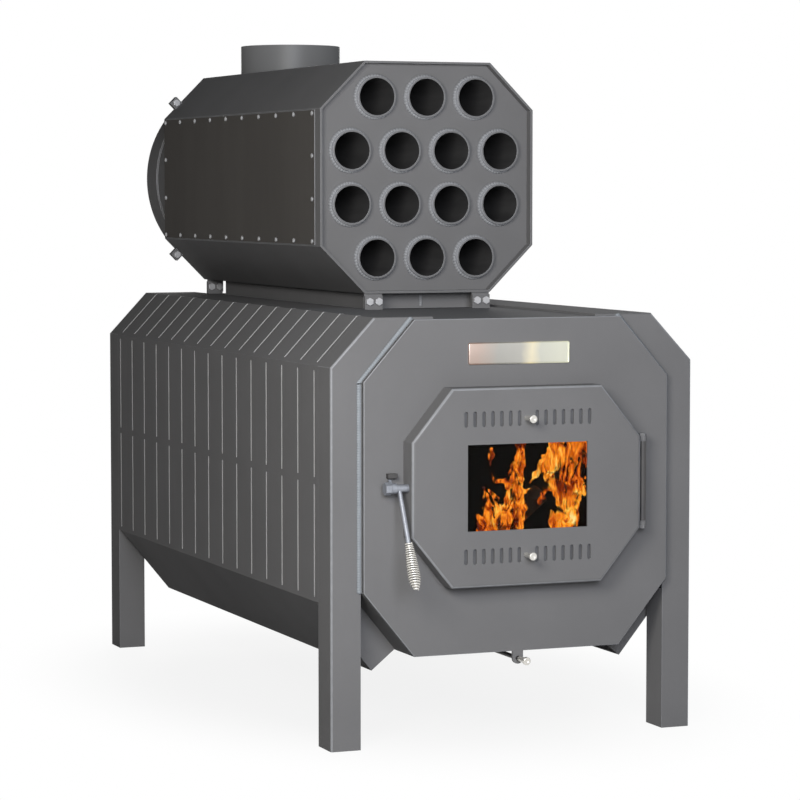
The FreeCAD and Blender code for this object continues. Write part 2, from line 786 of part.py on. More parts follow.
# Air registers: slotted plates that slide half a pitch behind the door skin, their guides and knobs.
register_half = register_pitch * (REGISTER_SLOTS + 0.5) + register_lap
register_rise = register_height / 2 + register_lap
register_front = skin_back + register_clearance
register_back = register_front + register_thick
rest = register_pitch / -4
register_guides = body("register_guides")
for label, row in (("upper", upper_row), ("lower", lower_row)):
    plate = body(label + "_register")
    pad(plate, "XZ", register_front, register_thick, rectangle(
        rest - register_half, row - register_rise, rest + register_half, row + register_rise,
    ))
    for first in (-REGISTER_SLOTS, 1):
        air_slots(plate, register_front - 1, register_thick + 2, [register_pitch * (first - 0.5)], [row])
    node(label + "_register", plate)
    stud = register_front - door_face + latch_clearance
    node(label + "_knob", knob(label + "_knob", door_face - latch_clearance, rest, row, stud))
    lip = register_back + register_clearance
    for side in (-1, 1):
        edge = row + (register_rise + register_clearance) * side
        pad(register_guides, "YZ", -register_half, register_half * 2, Polygon(
            (skin_back, edge), (skin_back, edge + door_sheet * side),
            (lip + register_thick, edge + door_sheet * side),
            (lip + register_thick, edge - door_sheet * side),
            (lip, edge - door_sheet * side), (lip, edge),
        ))
node("register_guides", register_guides)

# Hinge: two lugs on the panel, the pin through them, and the barrel with its leaf on the door.
hinge_x = door_half + hinge_offset
hinge_y = front - hinge_forward
barrel_low, barrel_high = door_middle - barrel_half, door_middle + barrel_half
lug_half = barrel_radius + 1
pin_bore = Circle(hinge_x, hinge_y, pin_radius + running_clearance)
lugs = body("lugs")
for low in (barrel_low - assembly_gap - hinge_lug_thick, barrel_high + assembly_gap):
    pad(lugs, "XY", low, hinge_lug_thick, rectangle(
        hinge_x - lug_half, hinge_y, hinge_x + lug_half, panel_face,
    ))
    pad(lugs, "XY", low, hinge_lug_thick, Circle(hinge_x, hinge_y, lug_half))
    pocket(lugs, "XY", low - 1, hinge_lug_thick + 2, pin_bore)
node("hinge_lugs", lugs)
pin_low = barrel_low - assembly_gap - hinge_lug_thick
pin_high = barrel_high + assembly_gap + hinge_lug_thick
hinge_pin = body("hinge_pin")
pin_length = pin_high - pin_low + bolt_head * 2
pad(hinge_pin, "XY", pin_low - bolt_head, pin_length, Circle(hinge_x, hinge_y, pin_radius))
for low in (pin_low - bolt_head, pin_high):
    pad(hinge_pin, "XY", low, bolt_head, hexagon(hinge_x, hinge_y, bolt_across))
node("hinge_pin", hinge_pin)
barrel = body("barrel")
pad(barrel, "XY", barrel_low, barrel_half * 2, Circle(hinge_x, hinge_y, barrel_radius))
pad(barrel, "XY", barrel_low, barrel_half * 2, rectangle(
    door_half, hinge_y - door_sheet / 2, hinge_x, hinge_y + door_sheet / 2,
))
pocket(barrel, "XY", barrel_low - 1, barrel_half * 2 + 2, pin_bore)
node("hinge_barrel", barrel)

# Latch: a pivot bolt on the door, the lever with its tongue that turns on it, the keeper on the panel.
latch_y = front - latch_forward
hub_end = -door_half - latch_clearance
collar_start = hub_end - hub_length
collar_end = collar_start - collar_length
head_start = collar_end - latch_clearance
pivot = body("pivot")
pad(pivot, "YZ", head_start, -door_half - head_start, Circle(latch_y, latch_height, latch_bolt_radius))
pad(pivot, "YZ", head_start - latch_head, latch_head, hexagon(latch_y, latch_height, collar_radius * 2.2))
node("latch_pivot", pivot)
hub = bar("hub", "X", (collar_start, latch_y, latch_height), hub_radius, hub_length)
collar = bar("collar", "X", (collar_end, latch_y, latch_height), collar_radius, collar_length)
tongue = doc.addObject("Part::Box", "tongue")
tongue.Placement = Placement(Vector(), Rotation(Vector(1, 0, 0), 40))
bind(tongue, "Length", collar_length / 2)
bind(tongue, "Width", collar_radius * 2)
bind(tongue, "Height", lever_radius)
for letter, position in zip("xyz", (collar_end, latch_y, latch_height)):
    bind(tongue, f"Placement.Base.{letter}", position)
lever_x = collar_start + lever_radius * 1.5
stick_length = lever_length - grip_length / 5
stick = bar("stick", "Z", (lever_x, latch_y, latch_height), lever_radius, stick_length)
stick.Placement.Rotation = Rotation(Vector(1, 0, 0), 180 - lever_tilt.value)
bind(stick, "Placement.Rotation.Angle", (180 - lever_tilt) * Size(1, "1 deg"))
bore_radius = latch_bolt_radius + running_clearance
bore = bar("bore", "X", (collar_end - 1, latch_y, latch_height), bore_radius, hub_length * 2)
node("handle_lever", cut("handle_lever", fuse("lever_blank", hub, collar, tongue, stick), bore))

# Spring grip: one unbroken wire that widens down the lever and closes in past its end.
wire = grip_wire.value
grip_turns = int(grip_length.value // (wire + grip_coil_gap.value))
grip_top = lever_radius.value + wire / 2 + assembly_gap.value
WIDEST = 0.72


def coil_point(turn):
    """A point of the wire's centre line, counted in turns from the top of the grip."""
    part = turn / grip_turns
    if part < WIDEST:
        radius = grip_top + (grip_wide.value - grip_top) * math.sin(math.pi / 2 * part / WIDEST)
    else:
        closing = math.cos(math.pi / 2 * (part - WIDEST) / (1 - WIDEST))
        radius = grip_tip.value + (grip_wide.value - grip_tip.value) * closing
    angle = 2 * math.pi * turn
    height = lever_length.value - grip_length.value * (1 - part)
    return Vector(radius * math.cos(angle), radius * math.sin(angle), height)


def coil_way(turn):
    return (coil_point(turn + 0.001) - coil_point(turn - 0.001)).normalize()


def arc(start, corner, end):
    """The arc that touches both lines from a corner to its start and end."""
    middle_point = (start + end) / 2
    half = (end - start).Length / 2
    turn = math.atan2((corner - middle_point).Length, half)
    lift = (corner - middle_point).normalize() * half * math.tan(turn / 2)
    return Part.Arc(start, middle_point + lift, end).toShape()


def biarc(start, start_way, end, end_way):
    """Two arcs that join two points and leave each along its own direction."""
    span, ways = end - start, start_way + end_way
    spread = 2 * (1 - start_way.dot(end_way))
    reach_out = (math.sqrt(span.dot(ways) ** 2 + spread * span.dot(span)) - span.dot(ways)) / spread
    first, second = start + start_way * reach_out, end - end_way * reach_out
    joint = (first + second) / 2
    return [arc(start, first, joint), arc(joint, second, end)]


stops = [step / 2 for step in range(grip_turns * 2 + 1)]
first_point, last_point = coil_point(0), coil_point(grip_turns)
path = [Part.LineSegment(first_point - coil_way(0) * wire, first_point).toShape()]
for start, end in zip(stops, stops[1:]):
    path += biarc(coil_point(start), coil_way(start), coil_point(end), coil_way(end))
path.append(Part.LineSegment(last_point, last_point + coil_way(grip_turns) * wire).toShape())
spine = Part.Wire(path)
ring = Part.Wire(Part.Circle(spine.Edges[0].Vertexes[0].Point, coil_way(0), wire / 2).toShape())
grip = doc.addObject("Part::Feature", "spring_grip")
grip.Shape = spine.makePipeShell([ring], True, False)
grip.Placement = Placement(
    Vector(lever_x.value, latch_y.value, latch_height.value),
    Rotation(Vector(1, 0, 0), 180 - lever_tilt.value),
)
node("spring_grip", grip)
samples = [coil_point(step / 24) for step in range(grip_turns * 24 + 1)]
least = min(a.distanceToPoint(b) for i, a in enumerate(samples) for b in samples[i + 14:i + 40])
print(f"spring grip: {grip_turns} turns, least gap {least - wire:.2f} mm")

keeper = body("keeper")
pad(keeper, "XZ", panel_face - latch_head, latch_head, rectangle(
    collar_end, latch_height + collar_radius * 1.8,
    collar_end + hub_length * 0.8, latch_height + collar_radius * 2.7,
))
node("latch_keeper", keeper)

# Heat exchanger shell with the smoke inlet below, the flue outlet above and four lugs for the fan plate.
exchanger = octagon(
    exchanger_half, exchanger_under, exchanger_top, exchanger_slope, exchanger_slope, exchanger_slope
)
flue_y = exchanger_end - flue_setback


def ears(base, tip):
    """Four rectangles across the sloped corners, from a depth inside the slope to a reach outside it."""
    found = []
    step = math.sqrt(0.5)
    for right in (-1, 1):
        for up in (-1, 1):
            across = (exchanger_half - exchanger_slope / 2 + ear_shift) * right
            height = exchanger_middle + (exchanger_rise - exchanger_slope / 2 - ear_shift) * up
            found.append(Polygon(*[
                (across + (out * right - side * up) * step, height + (out * up + side * right) * step)
                for out, side in ((base, -ear_half), (tip, -ear_half), (tip, ear_half), (base, ear_half))
            ]))
    return found


def ear_holes(radius):
    middle_reach = ear_reach / 2 * math.sqrt(0.5)
    across = exchanger_half - exchanger_slope / 2 + ear_shift + middle_reach
    height = exchanger_rise - exchanger_slope / 2 - ear_shift + middle_reach
    return [
        Circle(across * right, exchanger_middle + height * up, radius)
        for right in (-1, 1) for up in (-1, 1)
    ]


hx = body("exchanger")
exchanger_inside = Polygon(*inset(exchanger, exchanger_wall))
pad(hx, "XZ", exchanger_start, exchanger_length, Polygon(*exchanger), exchanger_inside)
pad(hx, "XZ", exchanger_end - ear_lug_length, ear_lug_length, *ears(exchanger_wall / -2, ear_reach))
pocket(hx, "XY", exchanger_under - exchanger_wall, exchanger_wall * 3, smoke_hole)
flue_hole = Circle(0, flue_y, flue_radius - flue_stop)
pocket(hx, "XY", exchanger_top - exchanger_wall * 2, exchanger_wall * 3, flue_hole)
bolt_hole = bolt_radius + assembly_gap
pocket(hx, "XZ", exchanger_end - ear_lug_length * 2, ear_lug_length * 3, *ear_holes(bolt_hole))
node("exchanger_shell", hx)

# Air tubes in rows of three, four, four and three, welded to the outer faces of the two tube plates.
three, four = (-1, 0, 1), (-1.5, -0.5, 0.5, 1.5)
tube_centres = [
    (tube_pitch * column, exchanger_middle + tube_pitch * row)
    for row, columns in ((1.5, three), (0.5, four), (-0.5, four), (-1.5, three))
    for column in columns
]
front_plate_face = exchanger_start + tube_plate_recess
rear_plate_face = exchanger_end - rear_plate_recess
tube_holes = [Circle(x, z, tube_radius + assembly_gap) for x, z in tube_centres]
for label, start in (("front", front_plate_face), ("rear", rear_plate_face - tube_plate_thick)):
    tube_plate = body(label + "_tube_plate")
    pad(tube_plate, "XZ", start, tube_plate_thick, exchanger_inside, *tube_holes)
    node(label + "_tube_plate", tube_plate)
tube_start, tube_end = exchanger_start + tube_end_recess, rear_plate_face + weld_height * 2
for number, centre in enumerate(tube_centres, 1):
    name = f"air_tube_{number:02d}"
    node(name, turned(name, "Y", centre, [
        (tube_start, tube_radius - tube_wall), (tube_start, tube_radius),
        (front_plate_face - weld_height, tube_radius), (front_plate_face, tube_radius + weld_leg),
        (front_plate_face, tube_radius), (rear_plate_face, tube_radius),
        (rear_plate_face, tube_radius + weld_leg), (rear_plate_face + weld_height, tube_radius),
        (tube_end, tube_radius), (tube_end, tube_radius - tube_wall),
    ]))

# Side covers and the screws round their edges.
cover_rise = exchanger_rise - exchanger_slope - cover_margin
cover = body("cover")
pad(cover, "YZ", -exchanger_half - cover_thick, cover_thick, rectangle(
    exchanger_start + cover_front_gap, exchanger_middle - cover_rise,
    exchanger_end - cover_margin, exchanger_middle + cover_rise,
))
node("left_side_cover", cover)
node("right_side_cover", mirrored("right_side_cover", cover, Vector(1, 0, 0)))
screw_x = -exchanger_half - cover_thick - screw_head
screw_step = (exchanger_length - screw_margin - screw_margin / 2) / (SCREWS - 1)
screws = body("screws")
first_screw = exchanger_start + screw_margin
row_heads = pad(screws, "YZ", screw_x, screw_head, *[
    hexagon(first_screw, exchanger_middle + screw_row * up, screw_across) for up in (-1, 1)
])
repeat(screws, [row_heads], "Y", screw_step, SCREWS)
pad(screws, "YZ", screw_x, screw_head, *[
    hexagon(first_screw + screw_step * step, exchanger_middle + screw_middle * up, screw_across)
    for step in (0, SCREWS - 1) for up in (-1, 1)
])
both_sides = doc.addObject("Part::Compound", "cover_screws")
both_sides.Links = [screws, mirrored("right_screws", screws, Vector(1, 0, 0))]
node("cover_screws", both_sides)

# Flue collar, smoke duct, and the bracket plates that tie the heat exchanger to the firebox.
collar_pipe = body("flue")
pad(
    collar_pipe, "XY", exchanger_top, flue_height,
    Circle(0, flue_y, flue_radius + flue_wall), Circle(0, flue_y, flue_radius),
)
node("flue_collar", collar_pipe)
duct = body("duct")
pad(
    duct, "XY", firebox_roof, exchanger_gap, rectangle(-duct_half, duct_low, duct_half, duct_high),
    rectangle(-duct_half + duct_wall, duct_low + duct_wall, duct_half - duct_wall, duct_high - duct_wall),
)
node("smoke_duct", duct)
bracket_middle = bracket_inner + bracket_width / 2
bolt_height = firebox_roof + exchanger_gap / 2
bolt_spots = [bracket_middle * side + bolt_spread * way for side in (-1, 1) for way in (-1, 1)]
bolt_holes = [Circle(x, bolt_height, bolt_hole) for x in bolt_spots]
brackets = body("brackets")
for lower, upper in (
    (front_stack, front_stack + bracket_thick), (rear_stack + bracket_thick, rear_stack),
):
    for start, low in ((lower, firebox_roof), (upper, firebox_roof + bracket_gap)):
        pad(brackets, "XZ", start, bracket_thick, *[
            rectangle(
                bracket_middle * side - bracket_width / 2, low,
                bracket_middle * side + bracket_width / 2, low + exchanger_gap - bracket_gap,
            )
            for side in (-1, 1)
        ])
for start in (front_stack, rear_stack):
    pocket(brackets, "XZ", start - 1, bracket_thick * 2 + 2, *bolt_holes)
node("stand_brackets", brackets)

# Fan plate with the fan opening and four ears; drum with its outer hoop; wire guard with the motor arms.
fan_plate = body("fan_plate")
fan_axis = (0, exchanger_middle)
pad(fan_plate, "XZ", exchanger_end, fan_plate_thick, Polygon(*exchanger))
pad(fan_plate, "XZ", exchanger_end, fan_plate_thick, *ears(exchanger_wall / -2, ear_reach))
fan_opening = Circle(*fan_axis, drum_radius - drum_wall)
pocket(fan_plate, "XZ", exchanger_end - 1, fan_plate_thick + 2, fan_opening, *ear_holes(bolt_hole))
node("fan_plate", fan_plate)
drum_start, drum_end = front + drum_front, front + drum_rear
hoop_start = drum_end - hoop_width
node("fan_drum", turned("fan_drum", "Y", fan_axis, [
    (drum_start, drum_radius - drum_wall), (drum_start, drum_radius), (hoop_start, drum_radius),
    (hoop_start, drum_radius + hoop_thick), (drum_end, drum_radius + hoop_thick),
    (drum_end, drum_radius - drum_wall),
]))
guard = body("guard")
GUARD_RINGS = 3
guard_step = (drum_radius - guard_hub) / (GUARD_RINGS + 1)
rim = Circle(*fan_axis, drum_radius + hoop_thick / 2)
rim_inside = Circle(*fan_axis, drum_radius - drum_wall - guard_bar)
pad(guard, "XZ", drum_end, guard_thick, rim, rim_inside)
pad(guard, "XZ", drum_end, guard_thick, Circle(*fan_axis, guard_hub))
arm_end = drum_radius - drum_wall
pad(guard, "XZ", drum_end, guard_thick, rectangle(
    -arm_end, exchanger_middle - guard_bar, arm_end, exchanger_middle + guard_bar,
))
pad(guard, "XZ", drum_end, guard_thick, rectangle(
    -guard_bar, exchanger_middle - arm_end, guard_bar, exchanger_middle + arm_end,
))
for ring in range(1, GUARD_RINGS + 1):
    ring_radius = guard_hub + guard_step * ring
    pad(
        guard, "XZ", drum_end, guard_thick,
        Circle(*fan_axis, ring_radius + guard_bar / 2), Circle(*fan_axis, ring_radius - guard_bar / 2),
    )
node("fan_guard", guard)
motor_front = drum_end - motor_length
node("fan_motor", turned("fan_motor", "Y", fan_axis, [
    (motor_front, motor_shaft + running_clearance), (motor_front, motor_radius * 0.8),
    (motor_front + motor_length / 8, motor_radius), (drum_end - motor_length / 8, motor_radius),
    (drum_end, motor_radius * 0.8), (drum_end, 0), (motor_front + motor_length / 2, 0),
    (motor_front + motor_length / 2, motor_shaft + running_clearance),
]))

# Impeller: the hub with its shaft and five pitched sheet blades that widen towards the tip.
hub_front = drum_start + (motor_front - drum_start) / 2 - fan_hub_length / 2
hub_rear = hub_front + fan_hub_length
impeller = turned("impeller", "Y", fan_axis, [
    (hub_front, 0), (hub_front, fan_hub_radius), (hub_rear, fan_hub_radius), (hub_rear, motor_shaft),
    (motor_front + motor_length / 3, motor_shaft), (motor_front + motor_length / 3, 0),
])
shaft_line = impeller.Tip.ReferenceAxis
blade_root = fan_hub_radius * 0.8
blade = impeller.newObject("PartDesign::Pad", "blade")
blade.Profile = draw(impeller, "XY", (0, hub_front + fan_hub_length / 2, exchanger_middle), [Polygon(
    (blade_root, -fan_chord / 3), (fan_radius, -fan_chord / 2), (fan_radius, fan_chord / 2),
    (blade_root, fan_chord / 3),
)], 90 - fan_pitch)
blade.Midplane = True
bind(blade, "Length", blade_thick)
impeller.Tip = blade


def at_blade_tip(edge):
    along = edge.BoundBox
    return along.XMin > fan_radius.value - 0.01 and edge.Length < blade_thick.value + 0.01


round_edges(impeller, tip_round, at_blade_tip)
ring_of_blades = impeller.newObject("PartDesign::PolarPattern", "ring_of_blades")
ring_of_blades.Originals = [blade, impeller.Tip]
ring_of_blades.Axis = shaft_line
ring_of_blades.Angle = 360
ring_of_blades.Occurrences = BLADES
impeller.Tip = ring_of_blades
node("fan_impeller", impeller)


def bolt(name, across, up, head, grip):
    """A hexagon bolt along Y with its nut, clamping a grip that starts behind its head."""
    item = body(name)
    pad(item, "XZ", head - bolt_head, grip + bolt_head * 2, Circle(across, up, bolt_radius))
    for start in (head - bolt_head, head + grip):
        pad(item, "XZ", start, bolt_head, hexagon(across, up, bolt_across))
    return item


# Bolts of the brackets and of the fan plate ears.
bolts = []
for stack in (front_stack, rear_stack):
    for across in bolt_spots:
        bolts.append(bolt(f"bolt_{len(bolts) + 1}", across, bolt_height, stack, bracket_thick * 2))
for hole in ear_holes(bolt_radius):
    start, grip = exchanger_end - ear_lug_length, ear_lug_length + fan_plate_thick
    bolts.append(bolt(f"bolt_{len(bolts) + 1}", hole.across, hole.up, start, grip))
all_bolts = doc.addObject("Part::Compound", "frame_bolts")
all_bolts.Links = bolts
node("frame_bolts", all_bolts)

doc.recompute()
os.makedirs("parts", exist_ok=True)
for name, item in nodes.items():
    item.Label = name
    shape = item.Shape
    if "Invalid" in item.State or "Error" in item.State or shape.isNull() or not shape.isValid():
        raise RuntimeError(f"{name} did not build: {item.State}")
    shape.exportStep(f"parts/{name}.step")
whole = Part.makeCompound([item.Shape for item in nodes.values()]).BoundBox
print(f"{len(nodes)} nodes, box {whole.XLength:.1f} x {whole.YLength:.1f} x {whole.ZLength:.1f} mm")
print(f"box centre {whole.Center.x:.2f}, {whole.Center.y:.2f}, lowest point {whole.ZMin:.2f}")
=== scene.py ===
import json
import math

import bpy
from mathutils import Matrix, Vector


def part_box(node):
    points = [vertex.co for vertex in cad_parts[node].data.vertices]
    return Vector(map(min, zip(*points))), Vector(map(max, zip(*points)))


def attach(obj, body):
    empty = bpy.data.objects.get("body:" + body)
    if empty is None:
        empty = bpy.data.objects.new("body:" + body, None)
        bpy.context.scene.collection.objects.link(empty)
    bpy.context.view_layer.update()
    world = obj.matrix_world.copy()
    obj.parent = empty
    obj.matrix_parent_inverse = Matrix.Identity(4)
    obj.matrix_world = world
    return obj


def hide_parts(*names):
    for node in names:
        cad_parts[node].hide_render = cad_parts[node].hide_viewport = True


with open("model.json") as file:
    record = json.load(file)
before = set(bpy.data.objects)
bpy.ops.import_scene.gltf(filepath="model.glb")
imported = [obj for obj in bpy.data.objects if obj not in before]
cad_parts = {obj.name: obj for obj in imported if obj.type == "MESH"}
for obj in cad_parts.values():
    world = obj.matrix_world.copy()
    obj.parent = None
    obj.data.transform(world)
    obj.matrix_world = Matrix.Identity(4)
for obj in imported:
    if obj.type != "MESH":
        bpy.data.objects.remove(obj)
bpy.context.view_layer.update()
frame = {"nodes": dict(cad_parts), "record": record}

# Corner posts and casing
# Folded steel sheet, slotted flat, bent on a press and welded to the box legs. Every edge is broken with a
# file before the satin graphite heat-proof paint goes on. The broken and rounded edges are painted lighter,
# a painted highlight, so corners show as thin bright lines.
nodes, record = frame["nodes"], frame["record"]
body_of = {name: body for body, members in record["behaviour"]["bodies"].items() for name in members}
broken_edge, post_edge = 0.0008, 0.001
same_point = 0.000002
FACING = 0.5


class Socket:
    """A socket in the nodes of a finish; arithmetic on it adds Math nodes."""

    def __init__(self, tree, socket):
        self.tree = tree
        self.socket = socket

    def feed(self, target, sockets):
        """Sets or links sockets of a node that is already there."""
        for name, value in sockets.items():
            if isinstance(value, Socket):
                self.tree.links.new(value.socket, target.inputs[name])
            else:
                target.inputs[name].default_value = value

    def node(self, kind, settings, sockets, output=0):
        """Any other node: its settings come first, then the values or links of its sockets."""
        made_node = self.tree.nodes.new("ShaderNode" + kind)
        for name, value in settings.items():
            if name != "stops":
                setattr(made_node, name, value)
                continue
            while len(made_node.color_ramp.elements) < len(value):
                made_node.color_ramp.elements.new(1.0)
            for element, (position, colour) in zip(made_node.color_ramp.elements, value):
                element.position = position
                element.color = (*colour, 1.0)
        self.feed(made_node, sockets)
        return Socket(self.tree, made_node.outputs[output])

    def math(self, operation, first, second):
        return self.node("Math", {"operation": operation}, {0: first, 1: second})

    def __add__(self, other):
        return self.math("ADD", self, other)

    def __sub__(self, other):
        return self.math("SUBTRACT", self, other)

    def __rsub__(self, other):
        return self.math("SUBTRACT", other, self)

    def __mul__(self, other):
        return self.math("MULTIPLY", self, other)

    def __gt__(self, other):
        return self.math("GREATER_THAN", self, other)

    __radd__ = __add__
    __rmul__ = __mul__


def new_finish(name):
    """A material, its shader, and the place on the piece that its patterns read."""
    material = bpy.data.materials.new(name)
    material.use_nodes = True
    tree = material.node_tree
    place = Socket(tree, None).node("TexCoord", {}, {}, "Object")
    return material, tree.nodes["Principled BSDF"], place


def noise(place, scale, detail=2.0, distortion=0.0):
    return place.node("TexNoise", {}, {
        "Vector": place, "Scale": scale, "Detail": detail, "Distortion": distortion,
    })


def stretched(place, across, reflection_band_place, up):
    return place.node("Mapping", {}, {"Vector": place, "Scale": (across, reflection_band_place, up)})


def ramp(value, *stops):
    return value.node("ValToRGB", {"stops": stops}, {"Fac": value})


def mix(mask, first, second):
    return mask.node("Mix", {"data_type": "RGBA"}, {0: mask, 6: (*first, 1.0), 7: (*second, 1.0)}, 2)


def bump(height, strength, depth):
    return height.node("Bump", {}, {"Height": height, "Strength": strength, "Distance": depth})


peel_scale = 1300.0
graphite, shader, place = new_finish("graphite_paint")
peel = noise(place, peel_scale)
cloud = noise(place, 7.0, 4.0)
fleck = noise(place, 3200.0, 0.0) > 0.66
place.feed(shader, {
    "Base Color": mix(cloud * 0.7 + fleck * 0.3, (0.188, 0.186, 0.188), (0.243, 0.240, 0.243)),
    "Metallic": 0.03,
    "Roughness": 0.30 + 0.16 * peel,
    "Specular IOR Level": 0.0,
    "Specular Tint": (0.3, 0.3, 0.3, 1.0),
    "Normal": bump(peel, 0.12, 0.0004),
})
# Lighter paint for broken and rounded edges all over the stove: a painted highlight.
edge_highlight, shader, place = new_finish("edge_highlight_paint")
edge_highlight_mottle = noise(place, 90.0, 3.0)
place.feed(shader, {
    "Base Color": mix(edge_highlight_mottle, (0.27, 0.275, 0.285), (0.37, 0.375, 0.39)),
    "Metallic": 0.08,
    "Roughness": 0.30 + 0.2 * edge_highlight_mottle,
    "Specular IOR Level": 0.0,
    "Normal": bump(noise(place, 900.0), 0.1, 0.0003),
})


def only(*pieces):
    """Selects these objects alone and makes the first the active one."""
    bpy.ops.object.select_all(action="DESELECT")
    for piece in pieces:
        piece.select_set(True)
    bpy.context.view_layer.objects.active = pieces[0]


def made(name):
    """Names the object that the last operator made, and returns it."""
    piece = bpy.context.view_layer.objects.active
    piece.name = name
    return piece


def edit_all():
    """Opens the active object's mesh with all of it selected."""
    bpy.ops.object.mode_set(mode="EDIT")
    bpy.ops.mesh.select_all(action="SELECT")


def coat(piece, *finishes):
    piece.data.materials.clear()
    for finish in finishes:
        piece.data.materials.append(finish)


def fix(piece, body):
    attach(piece, body)


def touch(piece, finish, chosen):
    """Gives another finish to the faces that pass a test on their middle and their normal."""
    if finish.name not in piece.data.materials:
        piece.data.materials.append(finish)
    number = piece.data.materials.find(finish.name)
    for face in piece.data.polygons:
        if chosen(face.center, face.normal):
            face.material_index = number


def rounded(spot, normal, side=0.2, front=0.97):
    """A test for the faces that roll over from a front or rear face to a side."""
    return side < abs(normal.y) < front


def dress(name, finish, edge_finish=None, edge=broken_edge):
    """Stands a copy of a CAD node in its place, with its edges broken and its curves smooth."""
    only(nodes[name])
    bpy.ops.object.duplicate()
    piece = made(name + "_dressed")
    piece.parent = None
    for key in list(piece.keys()):
        del piece[key]
    bpy.ops.mesh.customdata_custom_splitnormals_clear()
    edit_all()
    bpy.ops.mesh.remove_doubles(threshold=same_point)
    bpy.ops.mesh.dissolve_limited(angle_limit=math.radians(0.5))
    bpy.ops.object.mode_set(mode="OBJECT")
    coat(piece, finish, edge_finish or finish)
    bevel = piece.modifiers.new("broken_edge", "BEVEL")
    bevel.width = edge
    bevel.segments = 2
    bevel.angle_limit = math.radians(35)
    bevel.material = 1
    bpy.ops.object.modifier_apply(modifier="broken_edge")
    bpy.ops.object.shade_smooth_by_angle(angle=math.radians(50))
    piece.modifiers.new("flat_faces", "WEIGHTED_NORMAL").keep_sharp = True
    bpy.ops.object.modifier_apply(modifier="flat_faces")
    fix(piece, body_of[name])
    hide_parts(name)
    return piece


# Each post's broken and rounded edges take the lighter edge paint, a painted highlight; its top stays
# graphite.
top_margin = 0.003
for name in ("front_left_post", "front_right_post", "rear_left_post", "rear_right_post"):
    post = dress(name, graphite, edge_highlight, post_edge)
    touch(post, edge_highlight, rounded)
    post_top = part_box(name)[1].z
    touch(post, graphite, lambda spot, normal: spot.z > post_top - top_margin)
# Pale paint for the front- and rear-facing walls of the casings' slots: a painted highlight, so the slots
# show as light lines.
slot_wall_highlight, shader, place = new_finish("slot_wall_highlight_paint")
slot_wall_mottle = noise(stretched(place, 400.0, 400.0, 30.0), 1.0, 2.0)
place.feed(shader, {
    "Base Color": mix(slot_wall_mottle, (0.41, 0.41, 0.41), (0.56, 0.56, 0.55)),
    "Metallic": 0.1,
    "Roughness": 0.40 + 0.2 * slot_wall_mottle,
    "Specular IOR Level": 0.0,
    "Normal": bump(slot_wall_mottle, 0.1, 0.0003),
})
casing_low, casing_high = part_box("left_casing")
lower_fold, end_margin = 0.252, 0.004
# The casings' broken edges take the lighter edge paint, a painted highlight.
for name in ("left_casing", "right_casing"):
    casing = dress(name, graphite, edge_highlight)
    touch(casing, slot_wall_highlight, lambda spot, normal: (
        abs(normal.y) > FACING and spot.z > lower_fold
        and casing_low.y + end_margin < spot.y < casing_high.y - end_margin
    ))

# Firebox, front panel and rear panel
# The firebox is an octagonal tube of 5 mm plate, stitched to the posts by a hand-laid bead. The front panel
# is welded to its end all round, with a groove left between the two. Inside, everything is sooted; the end
# faces of the shell, at the floor of that groove, are painted near black with the same finish, a painted
# shade.
# Near-black finish: real soot inside the firebox, and painted shade on the shell's end faces in the groove.
soot_and_groove_shade, shader, place = new_finish("soot_and_groove_shade_plate")
soot_and_shade_mottle = noise(place, 38.0, 5.0)
place.feed(shader, {
    "Base Color": mix(soot_and_shade_mottle, (0.004, 0.004, 0.004), (0.022, 0.019, 0.017)),
    "Roughness": 0.8 + 0.15 * soot_and_shade_mottle,
    "Specular IOR Level": 0.1,
    "Normal": bump(noise(place, 420.0, 3.0), 0.4, 0.001),
})


def middle(name):
    """The middle of a CAD node's box."""
    low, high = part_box(name)
    return (low + high) / 2


def looks_inward(spot, normal, centre, least=0.02):
    """A test for faces that look in towards the line through a centre from front to back."""
    return normal.x * (centre.x - spot.x) + normal.z * (centre.z - spot.z) > least


plate_edge, panel_edge = 0.001, 0.0006
air_hole_reach = 0.05
firebox_low, firebox_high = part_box("firebox_shell")
firebox_middle = middle("firebox_shell")
# The shell and the panels have their broken edges in the lighter edge paint, a painted highlight.
shell = dress("firebox_shell", graphite, edge_highlight, plate_edge)
# Inward faces are sooted; the shell's end faces, the floor of the groove, get the same near-black finish as
# painted shade.
touch(shell, soot_and_groove_shade, lambda spot, normal: (
    looks_inward(spot, normal, firebox_middle, air_hole_reach) or abs(normal.y) > FACING
))
panel = dress("front_panel", graphite, edge_highlight, panel_edge)
touch(panel, edge_highlight, rounded)
touch(panel, soot_and_groove_shade, lambda spot, normal: normal.y > FACING or spot.y > firebox_low.y)
back = dress("rear_panel", graphite, edge_highlight, plate_edge)
touch(back, soot_and_groove_shade, lambda spot, normal: normal.y < -FACING)


def settle():
    """Puts the active object's place, turn and size into its mesh."""
    bpy.ops.object.transform_apply(location=True, rotation=True, scale=True)


def repeat(piece, run, count):
    """Copies the active piece in even steps along a straight run."""
    copies = piece.modifiers.new("copies", "ARRAY")
    copies.count = count
    copies.use_relative_offset = False
    copies.use_constant_offset = True
    copies.constant_offset_displace = run / (count - 1)
    bpy.ops.object.modifier_apply(modifier="copies")


def bead(name, start, end, width, step, finish):
    """A welded seam: one flattened ripple, repeated along a straight line, each over the last."""
    run = Vector(end) - Vector(start)
    ripple_shape = (1.0, 0.55, 0.8)
    bpy.ops.object.select_all(action="DESELECT")
    bpy.ops.mesh.primitive_uv_sphere_add(segments=10, ring_count=6, radius=width / 2, location=start)
    seam = made(name)
    bpy.ops.object.mode_set(mode="EDIT")
    bpy.ops.transform.resize(value=ripple_shape)
    bpy.ops.object.mode_set(mode="OBJECT")
    settle()
    repeat(seam, run, max(2, round(run.length / step)))
    bpy.ops.object.shade_smooth()
    coat(seam, finish)
    fix(seam, "stove")
